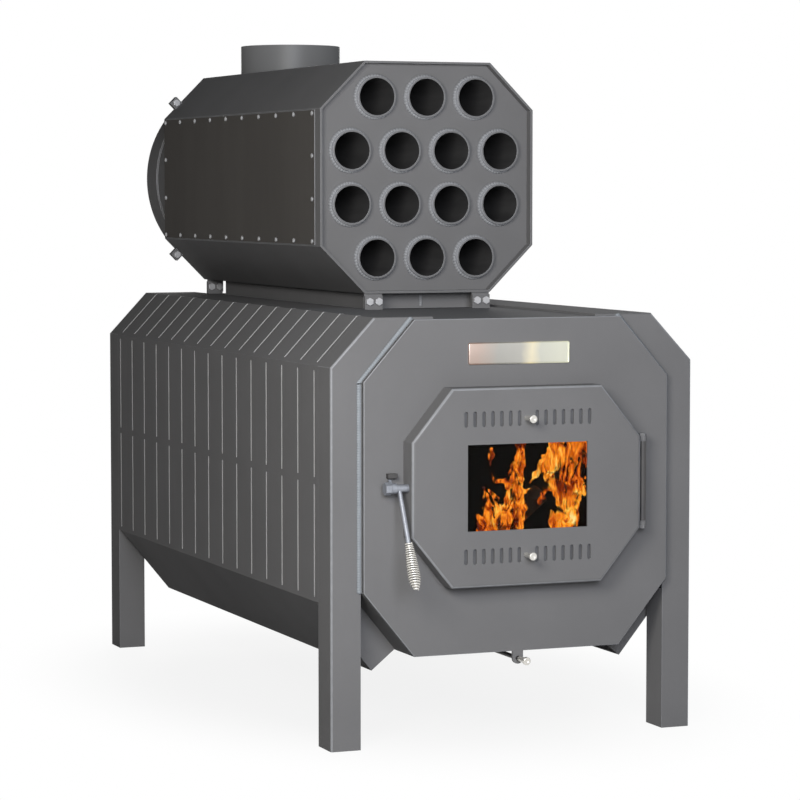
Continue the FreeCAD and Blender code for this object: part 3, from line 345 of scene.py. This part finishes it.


# The seams are painted lighter and bluer than the stove's paint, a painted highlight.
bead_highlight, shader, place = new_finish("weld_bead_highlight_paint")
bead_highlight_mottle = noise(place, 60.0, 3.0)
place.feed(shader, {
    "Base Color": mix(bead_highlight_mottle, (0.26, 0.28, 0.30), (0.37, 0.395, 0.42)),
    "Metallic": 0.08,
    "Roughness": 0.34 + 0.2 * bead_highlight_mottle,
    "Specular IOR Level": 0.0,
    "Normal": bump(noise(place, 900.0), 0.1, 0.0003),
})
seam_width, seam_step = 0.0105, 0.0044
seam_low, seam_high, slope_run = 0.276, 0.636, 0.094
seam_out, seam_proud = 0.0025, 0.0005
seam_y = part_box("front_left_post")[0].y - seam_proud
for side, label in ((-1, "left"), (1, "right")):
    seam_x = side * (firebox_high.x + seam_out)
    foot = (seam_x, seam_y, seam_low)
    fold = (seam_x, seam_y, seam_high)
    roof_corner = (seam_x - side * slope_run, seam_y, firebox_high.z)
    bead(f"{label}_side_seam", foot, fold, seam_width, seam_step, bead_highlight)
    bead(f"{label}_slope_seam", fold, roof_corner, seam_width, seam_step, bead_highlight)

# Nameplate
# A strip of brushed stainless steel, fixed flat above the door and left bare. The brush marks run along its
# length. Warm and pale bands of colour from one end to the other are painted reflections.
stainless, shader, place = new_finish("brushed_stainless")
stroke = noise(stretched(place, 14.0, 60.0, 2600.0), 1.0, 3.0)
# Painted reflections: the colour steps through warm and pale bands from end to end of the plate.
across = place.node("SeparateXYZ", {}, {0: place}, "X")
reflection_band_place = across * 5.2 + 0.5 + 0.12 * (noise(place, 30.0) - 0.5)
place.feed(shader, {
    "Base Color": ramp(
        reflection_band_place, (0.1, (0.47, 0.37, 0.32)), (0.3, (0.43, 0.42, 0.39)), (0.52, (0.50, 0.49, 0.45)),
        (0.64, (0.84, 0.77, 0.58)), (0.72, (0.66, 0.66, 0.58)), (0.9, (0.74, 0.74, 0.63)),
    ),
    "Metallic": 0.85,
    "Roughness": 0.26 + 0.2 * stroke,
    "Normal": bump(stroke, 0.15, 0.0002),
})
plate_corner, plate_rim = 0.003, 0.0004
plate_low, plate_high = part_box("nameplate")
plate_size = plate_high - plate_low
bpy.ops.object.select_all(action="DESELECT")
bpy.ops.mesh.primitive_cube_add(size=1.0, location=middle("nameplate"))
plate = made("nameplate_bare")
plate.scale = plate_size
settle()
for edge in plate.data.edges:
    first, second = (plate.data.vertices[i].co for i in edge.vertices)
    edge.select = abs(first.y - second.y) > plate_size.y / 2
bpy.ops.object.mode_set(mode="EDIT")
bpy.ops.mesh.select_mode(type="EDGE")
bpy.ops.mesh.bevel(offset=plate_corner, segments=4, affect="EDGES")
bpy.ops.object.mode_set(mode="OBJECT")
rim = plate.modifiers.new("rim", "BEVEL")
rim.width = plate_rim
rim.segments = 2
bpy.ops.object.modifier_apply(modifier="rim")
bpy.ops.object.shade_smooth_by_angle(angle=math.radians(40))
coat(plate, stainless)
fix(plate, "stove")
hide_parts("nameplate")

# Door
# A folded tray with rounded front edges. The sliding air plates behind its slots and the strips that hold
# the glass are bare steel, dulled by heat.
SQUARE_ON = 0.9
door_edge, strip_edge = 0.0005, 0.0003
# The door's broken and rounded front edges take the lighter edge paint, a painted highlight.
door = dress("door_shell", graphite, edge_highlight, door_edge)
touch(door, edge_highlight, lambda spot, normal: rounded(spot, normal, front=SQUARE_ON))
touch(door, soot_and_groove_shade, lambda spot, normal: normal.y > FACING)
heated, shader, place = new_finish("heat_dulled_steel")
tint = noise(place, 24.0, 4.0)
place.feed(shader, {
    "Base Color": mix(tint, (0.085, 0.086, 0.091), (0.16, 0.162, 0.170)),
    "Metallic": 0.3,
    "Roughness": 0.42 + 0.25 * tint,
    "Normal": bump(noise(place, 700.0), 0.1, 0.0004),
})
for name in ("upper_register", "lower_register", "register_guides", "glass_clamps"):
    dress(name, heated, edge=strip_edge)

# Door glass
# A pane of clear heat-proof ceramic, held behind the window, with a faint haze of soot from the fire.
pane, shader, place = new_finish("ceramic_glass")
haze = noise(place, 18.0, 3.0)
place.feed(shader, {
    "Base Color": mix(haze, (0.92, 0.90, 0.86), (1.0, 1.0, 1.0)),
    "Roughness": 0.02 + 0.05 * haze,
    "IOR": 1.12,
    "Transmission Weight": 1.0,
})
glass_edge = 0.0005
dress("door_glass", pane, edge=glass_edge)

# Fire
# Charred logs piled on the grate, a stick leaning over them, and the flames that rise from the pile and
# show in the window. Each flame is a tongue drawn out along a curve and flattened.
charred, shader, place = new_finish("charred_bark")
crack = noise(stretched(place, 70.0, 18.0, 70.0), 1.0, 4.0, 0.6)
place.feed(shader, {
    "Base Color": mix(crack, (0.004, 0.003, 0.003), (0.017, 0.013, 0.011)),
    "Roughness": 0.85 + 0.1 * crack,
    "Specular IOR Level": 0.1,
    "Emission Color": ramp(crack, (0.60, (0.0, 0.0, 0.0)), (0.72, (0.7, 0.12, 0.01))),
    "Emission Strength": 0.6,
    "Normal": bump(crack, 0.8, 0.004),
})
bark_grain = bpy.data.textures.new("bark_grain", "CLOUDS")
bark_grain.noise_scale = 0.025
log_radius, top_log_radius, stick_radius = 0.050, 0.040, 0.020
core_share, inset_share, bark_share = 0.95, 0.2, 0.16
pile_x, log_spread = 0.0485, 0.060
left_x, right_x = pile_x - log_spread, pile_x + log_spread
grate_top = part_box("fire_grate")[1].z
log_z, stick_z = grate_top + log_radius, grate_top + stick_radius
top_log_z = log_z + math.sqrt((log_radius + top_log_radius) ** 2 - log_spread ** 2)
logs = (
    ("left_log", (left_x, -0.60, log_z), (left_x, -0.24, log_z), log_radius),
    ("right_log", (right_x, -0.61, log_z), (right_x, -0.26, log_z), log_radius),
    ("top_log", (pile_x, -0.585, top_log_z), (pile_x, -0.28, top_log_z), top_log_radius),
    ("leaning_stick", (-0.178, -0.555, stick_z), (0.112, -0.54, 0.418), stick_radius),
)
for name, start, end, radius in logs:
    run = Vector(end) - Vector(start)
    bpy.ops.object.select_all(action="DESELECT")
    bpy.ops.mesh.primitive_cylinder_add(
        vertices=28, radius=radius * core_share, depth=run.length,
        location=(Vector(start) + Vector(end)) / 2, rotation=run.to_track_quat("Z", "Y").to_euler(),
    )
    log = made(name)
    settle()
    edit_all()
    bpy.ops.mesh.inset(thickness=radius * inset_share, depth=0.0)
    bpy.ops.mesh.select_all(action="SELECT")
    bpy.ops.mesh.subdivide(number_cuts=5)
    bpy.ops.object.mode_set(mode="OBJECT")
    bark = log.modifiers.new("bark", "DISPLACE")
    bark.texture = bark_grain
    bark.strength = radius * bark_share
    bpy.ops.object.modifier_apply(modifier="bark")
    bpy.ops.object.shade_smooth_by_angle(angle=math.radians(60))
    coat(log, charred)
    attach(log, "stove")
flame, shader, place = new_finish("flame")
lick = noise(stretched(place, 95.0, 6.0, 34.0), 1.0, 3.5, 1.4)
swell = noise(stretched(place, 26.0, 4.0, 15.0), 1.0, 2.0, 0.5)
gap = noise(stretched(place, 62.0, 2.0, 26.0), 1.0, 4.0, 1.4)
heat = lick * 0.62 + swell * 0.38
place.feed(shader, {
    "Base Color": (0.0, 0.0, 0.0, 1.0),
    "Roughness": 1.0,
    "Specular IOR Level": 0.0,
    "Emission Color": ramp(
        heat, (0.38, (0.03, 0.002, 0.001)), (0.44, (0.25, 0.025, 0.002)), (0.49, (0.68, 0.12, 0.005)),
        (0.55, (1.0, 0.30, 0.014)), (0.61, (1.0, 0.52, 0.06)), (0.69, (1.0, 0.80, 0.30)),
    ),
    "Emission Strength": 1.0,
    "Alpha": ramp(gap, (0.42, (0.0, 0.0, 0.0)), (0.53, (1.0, 1.0, 1.0))),
})


def wire_along(name, spot, points, radius, order, steps, roundness):
    """A mesh tube along a smooth line. A point is x, y, z and the factor on the radius there."""
    bpy.ops.object.select_all(action="DESELECT")
    bpy.ops.curve.primitive_nurbs_path_add(location=spot)
    wire = made(name)
    path = wire.data.splines[0]
    if len(points) > len(path.points):
        path.points.add(len(points) - len(path.points))
    spare = len(path.points) - len(points)
    for point, (x, y, z, swelling) in zip(path.points, points + points[-1:] * spare):
        point.co = (x, y, z, 1.0)
        point.radius = swelling
    path.order_u = order
    path.use_endpoint_u = True
    wire.data.resolution_u = steps
    wire.data.bevel_depth = radius
    wire.data.bevel_resolution = roundness
    wire.data.use_fill_caps = True
    bpy.ops.object.convert(target="MESH")
    return wire


def joined(name, pieces):
    """Makes one object of several."""
    only(*pieces)
    bpy.ops.object.join()
    return made(name)


MILLIMETRE = 0.001
FLAME_ROWS = 3
row_gap, fire_drop, flatness = 0.006, 0.014, 0.3
fire_x, fire_y, fire_z = 0.070, -0.585, middle("door_glass").z - fire_drop
# A point of a tongue is its place across and up from the middle of the fire, and its half width, in mm.
tongues = (
    (
        (-40, -130, 26), (-36, -75, 24), (-32, -45, 22), (-28, -18, 19), (-22, 10, 13), (-17, 35, 9),
        (-15, 88, 9),
    ),
    ((-82, -130, 16), (-84, -75, 14), (-82, -50, 11), (-84, -25, 7), (-90, -2, 1)),
    ((-62, -128, 15), (-62, -70, 13), (-62, -45, 10), (-68, -22, 7), (-84, -4, 1)),
    ((-92, -105, 10), (-94, -66, 8), (-96, -56, 4), (-103, -48, 1)),
    (
        (-38, -4, 8), (-45, 8, 7), (-56, 10, 5), (-68, 6, 3), (-77, 22, 2), (-81, 40, 3), (-78, 58, 7),
        (-74, 70, 2),
    ),
    ((-36, -2, 9), (-39, 16, 7), (-37, 32, 4), (-34, 42, 1)),
    ((-22, -72, 13), (-16, -54, 9), (-9, -47, 4), (-5, -36, 1)),
    ((-18, -12, 6), (-8, -9, 3), (3, -4, 1)),
    (
        (60, -130, 18), (60, -75, 18), (66, -50, 16), (68, -25, 18), (60, 0, 26), (52, 22, 30),
        (62, 50, 32), (72, 90, 34),
    ),
    (
        (88, -110, 10), (88, -32, 12), (96, -5, 13), (104, 20, 9), (109, 45, 7), (106, 66, 10),
        (100, 92, 14),
    ),
    ((44, 64, 9), (33, 46, 10), (21, 29, 8), (9, 15, 4), (-2, 3, 1)),
    ((96, 8, 9), (98, -4, 9), (105, -16, 6), (117, -13, 1)),
    ((96, 0, 7), (99, -14, 5), (103, -34, 1)),
    ((38, 12, 9), (30, -6, 7), (25, -20, 4), (17, -34, 1)),
    ((48, -90, 11), (43, -62, 7), (38, -46, 1)),
    ((80, -90, 11), (86, -60, 7), (90, -40, 1)),
)
drawn_tongues = []
for number, points in enumerate(tongues):
    root = (fire_x, fire_y - row_gap * (number % FLAME_ROWS), fire_z)
    line = [(x * MILLIMETRE, 0.0, z * MILLIMETRE, half_width) for x, z, half_width in points]
    tongue = wire_along("tongue", root, line, MILLIMETRE, order=3, steps=10, roundness=4)
    tongue.scale.y = flatness
    settle()
    drawn_tongues.append(tongue)
flames = joined("flames", drawn_tongues)
edit_all()
bpy.ops.mesh.remove_doubles(threshold=same_point)
bpy.ops.mesh.normals_make_consistent(inside=False)
bpy.ops.object.mode_set(mode="OBJECT")
flicker = bpy.data.textures.new("flicker", "CLOUDS")
flicker.noise_scale = 0.012
ragged = flames.modifiers.new("ragged", "DISPLACE")
ragged.texture = flicker
ragged.strength = 0.014
bpy.ops.object.modifier_apply(modifier="ragged")
bpy.ops.object.shade_smooth()
coat(flames, flame)
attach(flames, "stove")

# Rope seal
# Glass-fibre rope pressed into the channel round the back of the door. Two rows of slanted lobes make
# its braid.
rope, shader, place = new_finish("glass_fibre_rope")
fibre = noise(stretched(place, 900.0, 900.0, 900.0), 1.0, 2.0)
place.feed(shader, {
    "Base Color": mix(fibre, (0.16, 0.15, 0.14), (0.42, 0.40, 0.37)),
    "Roughness": 0.85 + 0.1 * fibre,
    "Normal": bump(fibre, 0.5, 0.0006),
})
seal_width, corner_run, corner_drop = 0.013, 0.075, 0.091
seal_low, seal_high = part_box("door_seal")
seal_middle = middle("door_seal")
seal_depth = seal_high.y - seal_low.y
half_x = seal_high.x - seal_width / 2
half_z = (seal_high.z - seal_low.z) / 2 - seal_width / 2
corners = [
    Vector((x, seal_middle.y, seal_middle.z + z)) for x, z in (
        (-half_x + corner_run, -half_z), (half_x - corner_run, -half_z),
        (half_x, -half_z + corner_drop), (half_x, half_z - corner_drop),
        (half_x - corner_run, half_z), (-half_x + corner_run, half_z),
        (-half_x, half_z - corner_drop), (-half_x, -half_z + corner_drop),
    )
]
lobe_length, lobe_thick, lobe_step = 0.013, 0.0062, 0.0075
lobe_slant, row_share, depth_share = 0.6, 0.24, 0.96
strands = []
for corner, after in zip(corners, corners[1:] + corners[:1]):
    run = after - corner
    lean = math.atan2(run.z, run.x)
    for way in (-1, 1):
        bpy.ops.object.select_all(action="DESELECT")
        bpy.ops.mesh.primitive_uv_sphere_add(segments=8, ring_count=6, radius=0.5)
        strand = made("strand")
        strand.scale = (lobe_length, seal_depth * depth_share, lobe_thick)
        strand.rotation_euler = (0.0, -lean - way * lobe_slant, 0.0)
        sideways = Vector((-run.z, 0.0, run.x)).normalized() * seal_width * row_share * way
        strand.location = corner + sideways
        settle()
        repeat(strand, run, round(run.length / lobe_step) + 1)
        strands.append(strand)
braid = joined("rope_braid", strands)
bpy.ops.object.shade_smooth()
coat(braid, rope)
fix(braid, "door")
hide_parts("door_seal")

# Knobs, hinge and latch
# The knobs are turned and nickel plated. The hinge lugs and pin are painted with the stove, and its barrel
# is dark mill steel. The latch keeper is given the dark mill steel as painted shade, for the shadow it sits
# in, and the latch bolt and the lever are bare bright steel.
knob_edge, latch_edge, hinge_edge = 0.0004, 0.0005, 0.0006
nickel, shader, place = new_finish("nickel_plate")
mark = noise(stretched(place, 500.0, 60.0, 500.0), 1.0, 2.0)
place.feed(shader, {
    "Base Color": mix(noise(place, 60.0), (0.66, 0.635, 0.585), (0.78, 0.76, 0.71)),
    "Metallic": 0.6,
    "Roughness": 0.16 + 0.14 * mark,
    "Normal": bump(mark, 0.05, 0.0002),
})
for name in ("upper_knob", "lower_knob", "pull_knob"):
    dress(name, nickel, edge=knob_edge)
bright, shader, place = new_finish("bright_steel")
drawn = noise(stretched(place, 300.0, 300.0, 40.0), 1.0, 2.0)
place.feed(shader, {
    "Base Color": mix(drawn, (0.25, 0.265, 0.30), (0.40, 0.42, 0.46)),
    "Metallic": 0.5,
    "Roughness": 0.30 + 0.18 * drawn,
    "Normal": bump(drawn, 0.08, 0.0003),
})
for name in ("latch_pivot", "handle_lever"):
    dress(name, bright, edge=latch_edge)
dress("hinge_lugs", graphite, edge=hinge_edge)
# The pin's and the barrel's broken edges take the lighter edge paint, a painted highlight.
dress("hinge_pin", graphite, edge_highlight, hinge_edge)
mill, shader, place = new_finish("mill_steel")
scale_mark = noise(place, 30.0, 5.0)
place.feed(shader, {
    "Base Color": mix(scale_mark, (0.05, 0.05, 0.055), (0.12, 0.115, 0.11)),
    "Metallic": 0.6,
    "Roughness": 0.45 + 0.25 * scale_mark,
    "Normal": bump(noise(place, 600.0, 3.0), 0.15, 0.0005),
})
dress("hinge_barrel", mill, edge_highlight, hinge_edge)
# Dark steel on the keeper is painted shade: it stands for the shadow over it.
dress("latch_keeper", mill, edge=latch_edge)

# Spring grip
# Hard-drawn wire wound into a basket on the lever, so that the hand stays off the hot steel. It widens
# down the lever and closes in past the lever's end.
lever_tilt = math.radians(25.5)
lever_length, grip_length = 0.183, 0.084
wire_width, wire_gap = 0.003, 0.0012
grip_top, grip_wide, grip_tip = 0.0058, 0.0102, 0.0036
widest = 0.72
turns = int(grip_length // (wire_width + wire_gap))
POINTS_A_TURN = 12
winding = []
for number in range(turns * POINTS_A_TURN + 1):
    part = number / (turns * POINTS_A_TURN)
    if part < widest:
        radius = grip_top + (grip_wide - grip_top) * math.sin(math.pi / 2 * part / widest)
    else:
        narrowing = (part - widest) / (1 - widest)
        radius = grip_tip + (grip_wide - grip_tip) * math.cos(math.pi / 2 * narrowing)
    angle = 2 * math.pi * number / POINTS_A_TURN
    depth = lever_length - grip_length * (1 - part)
    out = radius * math.sin(angle)
    winding.append((
        radius * math.cos(angle),
        -depth * math.sin(lever_tilt) + out * math.cos(lever_tilt),
        -depth * math.cos(lever_tilt) - out * math.sin(lever_tilt),
        1.0,
    ))
pivot = middle("latch_pivot")
grip_spot = (middle("spring_grip").x, pivot.y, pivot.z)
coil = wire_along("spring_coil", grip_spot, winding, wire_width / 2, order=4, steps=3, roundness=3)
settle()
bpy.ops.object.shade_smooth_by_angle(angle=math.radians(50))
coat(coil, nickel)
fix(coil, "handle")
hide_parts("spring_grip")

# Air shutter and grate
# The shutter plate and its guides are dark mill-finish steel under the floor; the grate above is cast iron.
shutter_edge, casting_edge = 0.0004, 0.0015
for name in ("air_shutter", "shutter_guides"):
    dress(name, mill, edge=shutter_edge)
cast, shader, place = new_finish("cast_iron")
grit = noise(place, 650.0, 4.0)
place.feed(shader, {
    "Base Color": mix(grit, (0.02, 0.018, 0.016), (0.06, 0.052, 0.046)),
    "Roughness": 0.7 + 0.2 * grit,
    "Normal": bump(grit, 0.6, 0.001),
})
dress("fire_grate", cast, edge=casting_edge)

# Heat exchanger shell, tube plates and air tubes
# An octagonal shell, folded from sheet, with a plate welded deep into each end. Fourteen tubes go through
# the plates, each in a ring of weld painted light as a highlight. The tubes are dark steel inside, painted
# darker still as shade in the bores; the inside of the shell's lip and the tube ends are painted pale, a
# painted highlight.
# Near-black finish for the inside of the tubes: dark bare steel, painted darker still as painted shade for
# the depth of the bores.
bore_steel_and_shade, shader, place = new_finish("tube_inside")
bore_mottle = noise(stretched(place, 40.0, 4.0, 40.0), 1.0, 4.0)
place.feed(shader, {
    "Base Color": mix(bore_mottle, (0.032, 0.032, 0.034), (0.090, 0.088, 0.088)),
    "Roughness": 0.5 + 0.25 * bore_mottle,
    "Specular IOR Level": 0.1,
    "Normal": bump(noise(place, 500.0), 0.1, 0.0005),
})
# Pale paint for the inside of the shell's lip and the tube ends in front of the plate: a painted highlight.
lip_highlight, shader, place = new_finish("lip_highlight")
lip_highlight_grain = noise(stretched(place, 120.0, 30.0, 120.0), 1.0, 3.0)
place.feed(shader, {
    "Base Color": mix(lip_highlight_grain, (0.44, 0.45, 0.48), (0.60, 0.61, 0.64)),
    "Metallic": 0.05,
    "Roughness": 0.40 + 0.2 * lip_highlight_grain,
    "Specular IOR Level": 0.0,
    "Normal": bump(lip_highlight_grain, 0.1, 0.0003),
})
plate_face, rear_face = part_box("front_tube_plate")[0].y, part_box("rear_tube_plate")[1].y
exchanger_edge, tube_plate_edge = 0.001, 0.0005
exchanger_middle = middle("exchanger_shell")
# The shell's broken edges take the lighter edge paint and the inside of its lip the pale lip paint, both
# painted highlight.
exchanger = dress("exchanger_shell", graphite, edge_highlight, exchanger_edge)
touch(exchanger, lip_highlight, lambda spot, normal: (
    spot.y < plate_face and abs(normal.y) < FACING and looks_inward(spot, normal, exchanger_middle)
))
for name in ("front_tube_plate", "rear_tube_plate"):
    dress(name, graphite, edge=tube_plate_edge)
tube_names = sorted(name for name in nodes if name.startswith("air_tube_"))
# Each tube's broken edges take the lighter edge paint and its end in front of the plate the pale lip paint,
# both painted highlight; its inside takes the near-black bore finish.
for name in tube_names:
    tube_middle = middle(name)
    tube = dress(name, graphite, edge_highlight)
    touch(tube, lip_highlight, lambda spot, normal: spot.y < plate_face and abs(normal.y) < SQUARE_ON)
    touch(tube, bore_steel_and_shade, lambda spot, normal: looks_inward(spot, normal, tube_middle))
WELD_RIPPLES = 44
tube_radius, weld_leg, weld_root = 0.038, 0.0048, 0.001
bpy.ops.object.select_all(action="DESELECT")
bpy.ops.mesh.primitive_uv_sphere_add(
    segments=12, ring_count=8, radius=weld_leg, location=(0.0, 0.0, tube_radius),
)
weld_ring = made("weld_ring")
settle()
edit_all()
bpy.ops.mesh.bisect(
    plane_co=(0.0, 0.0, tube_radius - weld_root), plane_no=(0.0, 0.0, -1.0),
    use_fill=True, clear_outer=True,
)
bpy.ops.mesh.select_all(action="SELECT")
bpy.ops.mesh.spin(
    steps=WELD_RIPPLES - 1, dupli=True, angle=2 * math.pi * (WELD_RIPPLES - 1) / WELD_RIPPLES,
    center=(0.0, 0.0, 0.0), axis=(0.0, 1.0, 0.0),
)
bpy.ops.mesh.select_all(action="SELECT")
bpy.ops.mesh.remove_doubles(threshold=same_point)
bpy.ops.mesh.normals_make_consistent(inside=False)
bpy.ops.object.mode_set(mode="OBJECT")
bpy.ops.object.shade_smooth()
# The rings of weld are painted all over with the lighter edge paint, a painted highlight.
coat(weld_ring, edge_highlight)
for name in tube_names:
    tube_middle = middle(name)
    for label, face in (("front", plate_face), ("rear", rear_face)):
        only(weld_ring)
        bpy.ops.object.duplicate()
        weld = made(f"{label}_weld_{name[-2:]}")
        weld.location = (tube_middle.x, face, tube_middle.z)
        settle()
        fix(weld, "stove")
bpy.data.objects.remove(weld_ring)

# Side covers and their screws
# A flat sheet screwed over each side of the shell, with zinc-plated screw heads in a row round its edge.
cover_paint, shader, place = new_finish("cover_paint")
peel = noise(place, peel_scale)
cloud = noise(stretched(place, 1.0, 9.0, 1.5), 1.0, 4.0)
place.feed(shader, {
    "Base Color": mix(cloud, (0.108, 0.101, 0.094), (0.146, 0.137, 0.128)),
    "Metallic": 0.03,
    "Roughness": 0.34 + 0.16 * peel,
    "Specular IOR Level": 0.0,
    "Normal": bump(peel, 0.12, 0.0004),
})
cover_edge = 0.0007
# The covers' broken edges take the lighter edge paint, a painted highlight.
for name in ("left_side_cover", "right_side_cover"):
    dress(name, cover_paint, edge_highlight, cover_edge)
zinc, shader, place = new_finish("zinc_plate")
spangle = noise(place, 240.0, 2.0)
place.feed(shader, {
    "Base Color": mix(spangle, (0.30, 0.30, 0.31), (0.44, 0.44, 0.44)),
    "Metallic": 0.25,
    "Roughness": 0.32 + 0.2 * spangle,
    "Normal": bump(spangle, 0.06, 0.0002),
})
dress("cover_screws", zinc)

# Flue collar, smoke duct and stand brackets
# Rolled and folded plate, welded on and painted with the rest. The duct's sheet is closed by a seam down
# its front, and the brackets are bolted in pairs.
flue_paint, shader, place = new_finish("flue_paint")
peel = noise(place, peel_scale)
place.feed(shader, {
    "Base Color": mix(noise(place, 9.0, 4.0), (0.195, 0.196, 0.198), (0.232, 0.233, 0.235)),
    "Metallic": 0.13,
    "Roughness": 0.39 + 0.1 * peel,
    "Specular IOR Level": 0.0,
    "Normal": bump(peel, 0.08, 0.0003),
})
# The collar, duct and brackets have their broken edges in the lighter edge paint, a painted highlight; the
# duct's seam is painted with it too.
dress("flue_collar", flue_paint, edge_highlight)
for name in ("smoke_duct", "stand_brackets"):
    dress(name, graphite, edge_highlight)
duct_low, duct_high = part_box("smoke_duct")
duct_seam_x, duct_seam_margin = 0.006, 0.006
duct_seam_width, duct_seam_step = 0.007, 0.003
duct_foot = (duct_seam_x, duct_low.y, duct_low.z + duct_seam_margin)
duct_top = (duct_seam_x, duct_low.y, duct_high.z - duct_seam_margin)
bead("duct_seam", duct_foot, duct_top, duct_seam_width, duct_seam_step, edge_highlight)
bright_zinc, shader, place = new_finish("bright_zinc")
spangle = noise(place, 260.0, 2.0)
place.feed(shader, {
    "Base Color": mix(spangle, (0.58, 0.58, 0.60), (0.74, 0.74, 0.75)),
    "Metallic": 0.3,
    "Roughness": 0.24 + 0.16 * spangle,
    "Normal": bump(spangle, 0.06, 0.0002),
})
bolt_edge = 0.0012
dress("frame_bolts", bright_zinc, edge=bolt_edge)

# Fan
# The drum is rolled sheet with a hoop round its rear edge. A wire guard carries the motor, and the impeller
# is pressed from aluminium sheet.
# The plate's and drum's broken edges take the lighter edge paint, a painted highlight.
for name in ("fan_plate", "fan_drum"):
    dress(name, graphite, edge_highlight)
black, shader, place = new_finish("black_paint")
grain = noise(place, 900.0)
place.feed(shader, {
    "Base Color": mix(noise(place, 12.0, 3.0), (0.018, 0.018, 0.019), (0.034, 0.034, 0.035)),
    "Roughness": 0.38 + 0.2 * grain,
    "Normal": bump(grain, 0.15, 0.0004),
})
for name in ("fan_guard", "fan_motor"):
    dress(name, black)
aluminium, shader, place = new_finish("pressed_aluminium")
rolled = noise(stretched(place, 8.0, 8.0, 300.0), 1.0, 3.0)
place.feed(shader, {
    "Base Color": mix(rolled, (0.50, 0.50, 0.51), (0.66, 0.66, 0.67)),
    "Metallic": 1.0,
    "Roughness": 0.34 + 0.2 * rolled,
    "Normal": bump(rolled, 0.06, 0.0003),
})
impeller_edge = 0.0004
dress("fan_impeller", aluminium, edge=impeller_edge)

# Floor, light and camera
# A pale studio floor that fades to white, a soft key in front, a second one nearer on the left, a cool lamp
# overhead, and a broad lamp behind for the far sides.
AMBIENT = 0.012
WHITE = (1.0, 1.0, 1.0, 1.0)


def seen(tree):
    """1 where the camera looks, straight, in a mirror or through glass; 0 where light is gathered."""
    start = Socket(tree, None)
    straight, mirrored, through = (
        start.node("LightPath", {}, {}, f"Is {kind} Ray") for kind in ("Camera", "Glossy", "Transmission")
    )
    return start.math("MAXIMUM", start.math("MAXIMUM", straight, mirrored), through)


world = bpy.data.worlds.new("studio")
world.use_nodes = True
bpy.context.scene.world = world
sky = world.node_tree.nodes["Background"]
shown = seen(world.node_tree)
shown.feed(sky, {"Color": WHITE, "Strength": AMBIENT + (1.0 - AMBIENT) * shown})

floor_size = 60.0
bpy.ops.object.select_all(action="DESELECT")
bpy.ops.mesh.primitive_plane_add(size=floor_size, location=(0.0, 0.0, 0.0))
floor = made("floor")
pale, shader, place = new_finish("pale_floor")
place.feed(shader, {
    "Base Color": mix(seen(pale.node_tree), (0.5, 0.5, 0.5), (0.7, 0.7, 0.7)),
    "Roughness": 0.9,
    "Specular IOR Level": 0.0,
})
away = place.node("VectorMath", {"operation": "LENGTH"}, {0: stretched(place, 1.5, 1.0, 1.0)}, "Value")
white_share = place.node("MapRange", {"interpolation_type": "SMOOTHSTEP"}, {
    "Value": away, "From Min": 0.5, "From Max": 1.1, "To Min": 0.87, "To Max": 1.0,
})
glow = place.node("Emission", {}, {"Color": WHITE, "Strength": 1.0})
faded = place.node("MixShader", {}, {
    0: white_share * seen(pale.node_tree), 1: Socket(pale.node_tree, shader.outputs[0]), 2: glow,
})
place.feed(pale.node_tree.nodes["Material Output"], {"Surface": faded})
coat(floor, pale)


def lamp(name, spot, target, width, height, power, colour):
    """A soft lamp of some width and height in metres and power in watts, turned to a target."""
    bpy.ops.object.light_add(type="AREA", location=spot)
    light = made(name)
    light.rotation_euler = (Vector(target) - Vector(spot)).to_track_quat("-Z", "Y").to_euler()
    light.data.shape = "RECTANGLE"
    light.data.size = width
    light.data.size_y = height
    light.data.energy = power
    light.data.color = colour


lamp("key", (-0.9, -4.0, 1.45), (0.0, -0.5, 0.7), 1.4, 1.1, 71.0, (0.90, 0.93, 1.0))
lamp("left_soft", (-1.5, -2.3, 1.35), (-0.2, -0.5, 0.6), 0.9, 0.8, 29.5, (1.0, 0.98, 0.93))
lamp("cool_sky", (1.0, -0.6, 3.2), (0.0, -0.1, 0.7), 1.6, 1.6, 6.0, (0.70, 0.85, 1.0))
lamp("rear_soft", (1.8, 4.6, 2.1), (0.0, 0.2, 0.7), 2.6, 2.2, 200.0, (1.0, 0.98, 0.96))

camera_spot = (-2.1356, -5.4513, 0.9684)
camera_drop, camera_turn = 4.042, 21.909
bpy.ops.object.camera_add(location=camera_spot)
camera = made("camera")
camera.rotation_euler = (math.radians(90 - camera_drop), 0.0, math.radians(-camera_turn))
camera.data.sensor_width = 36.0
camera.data.lens = 134.62
bpy.context.scene.camera = camera
bpy.context.scene.view_settings.view_transform = "Standard"
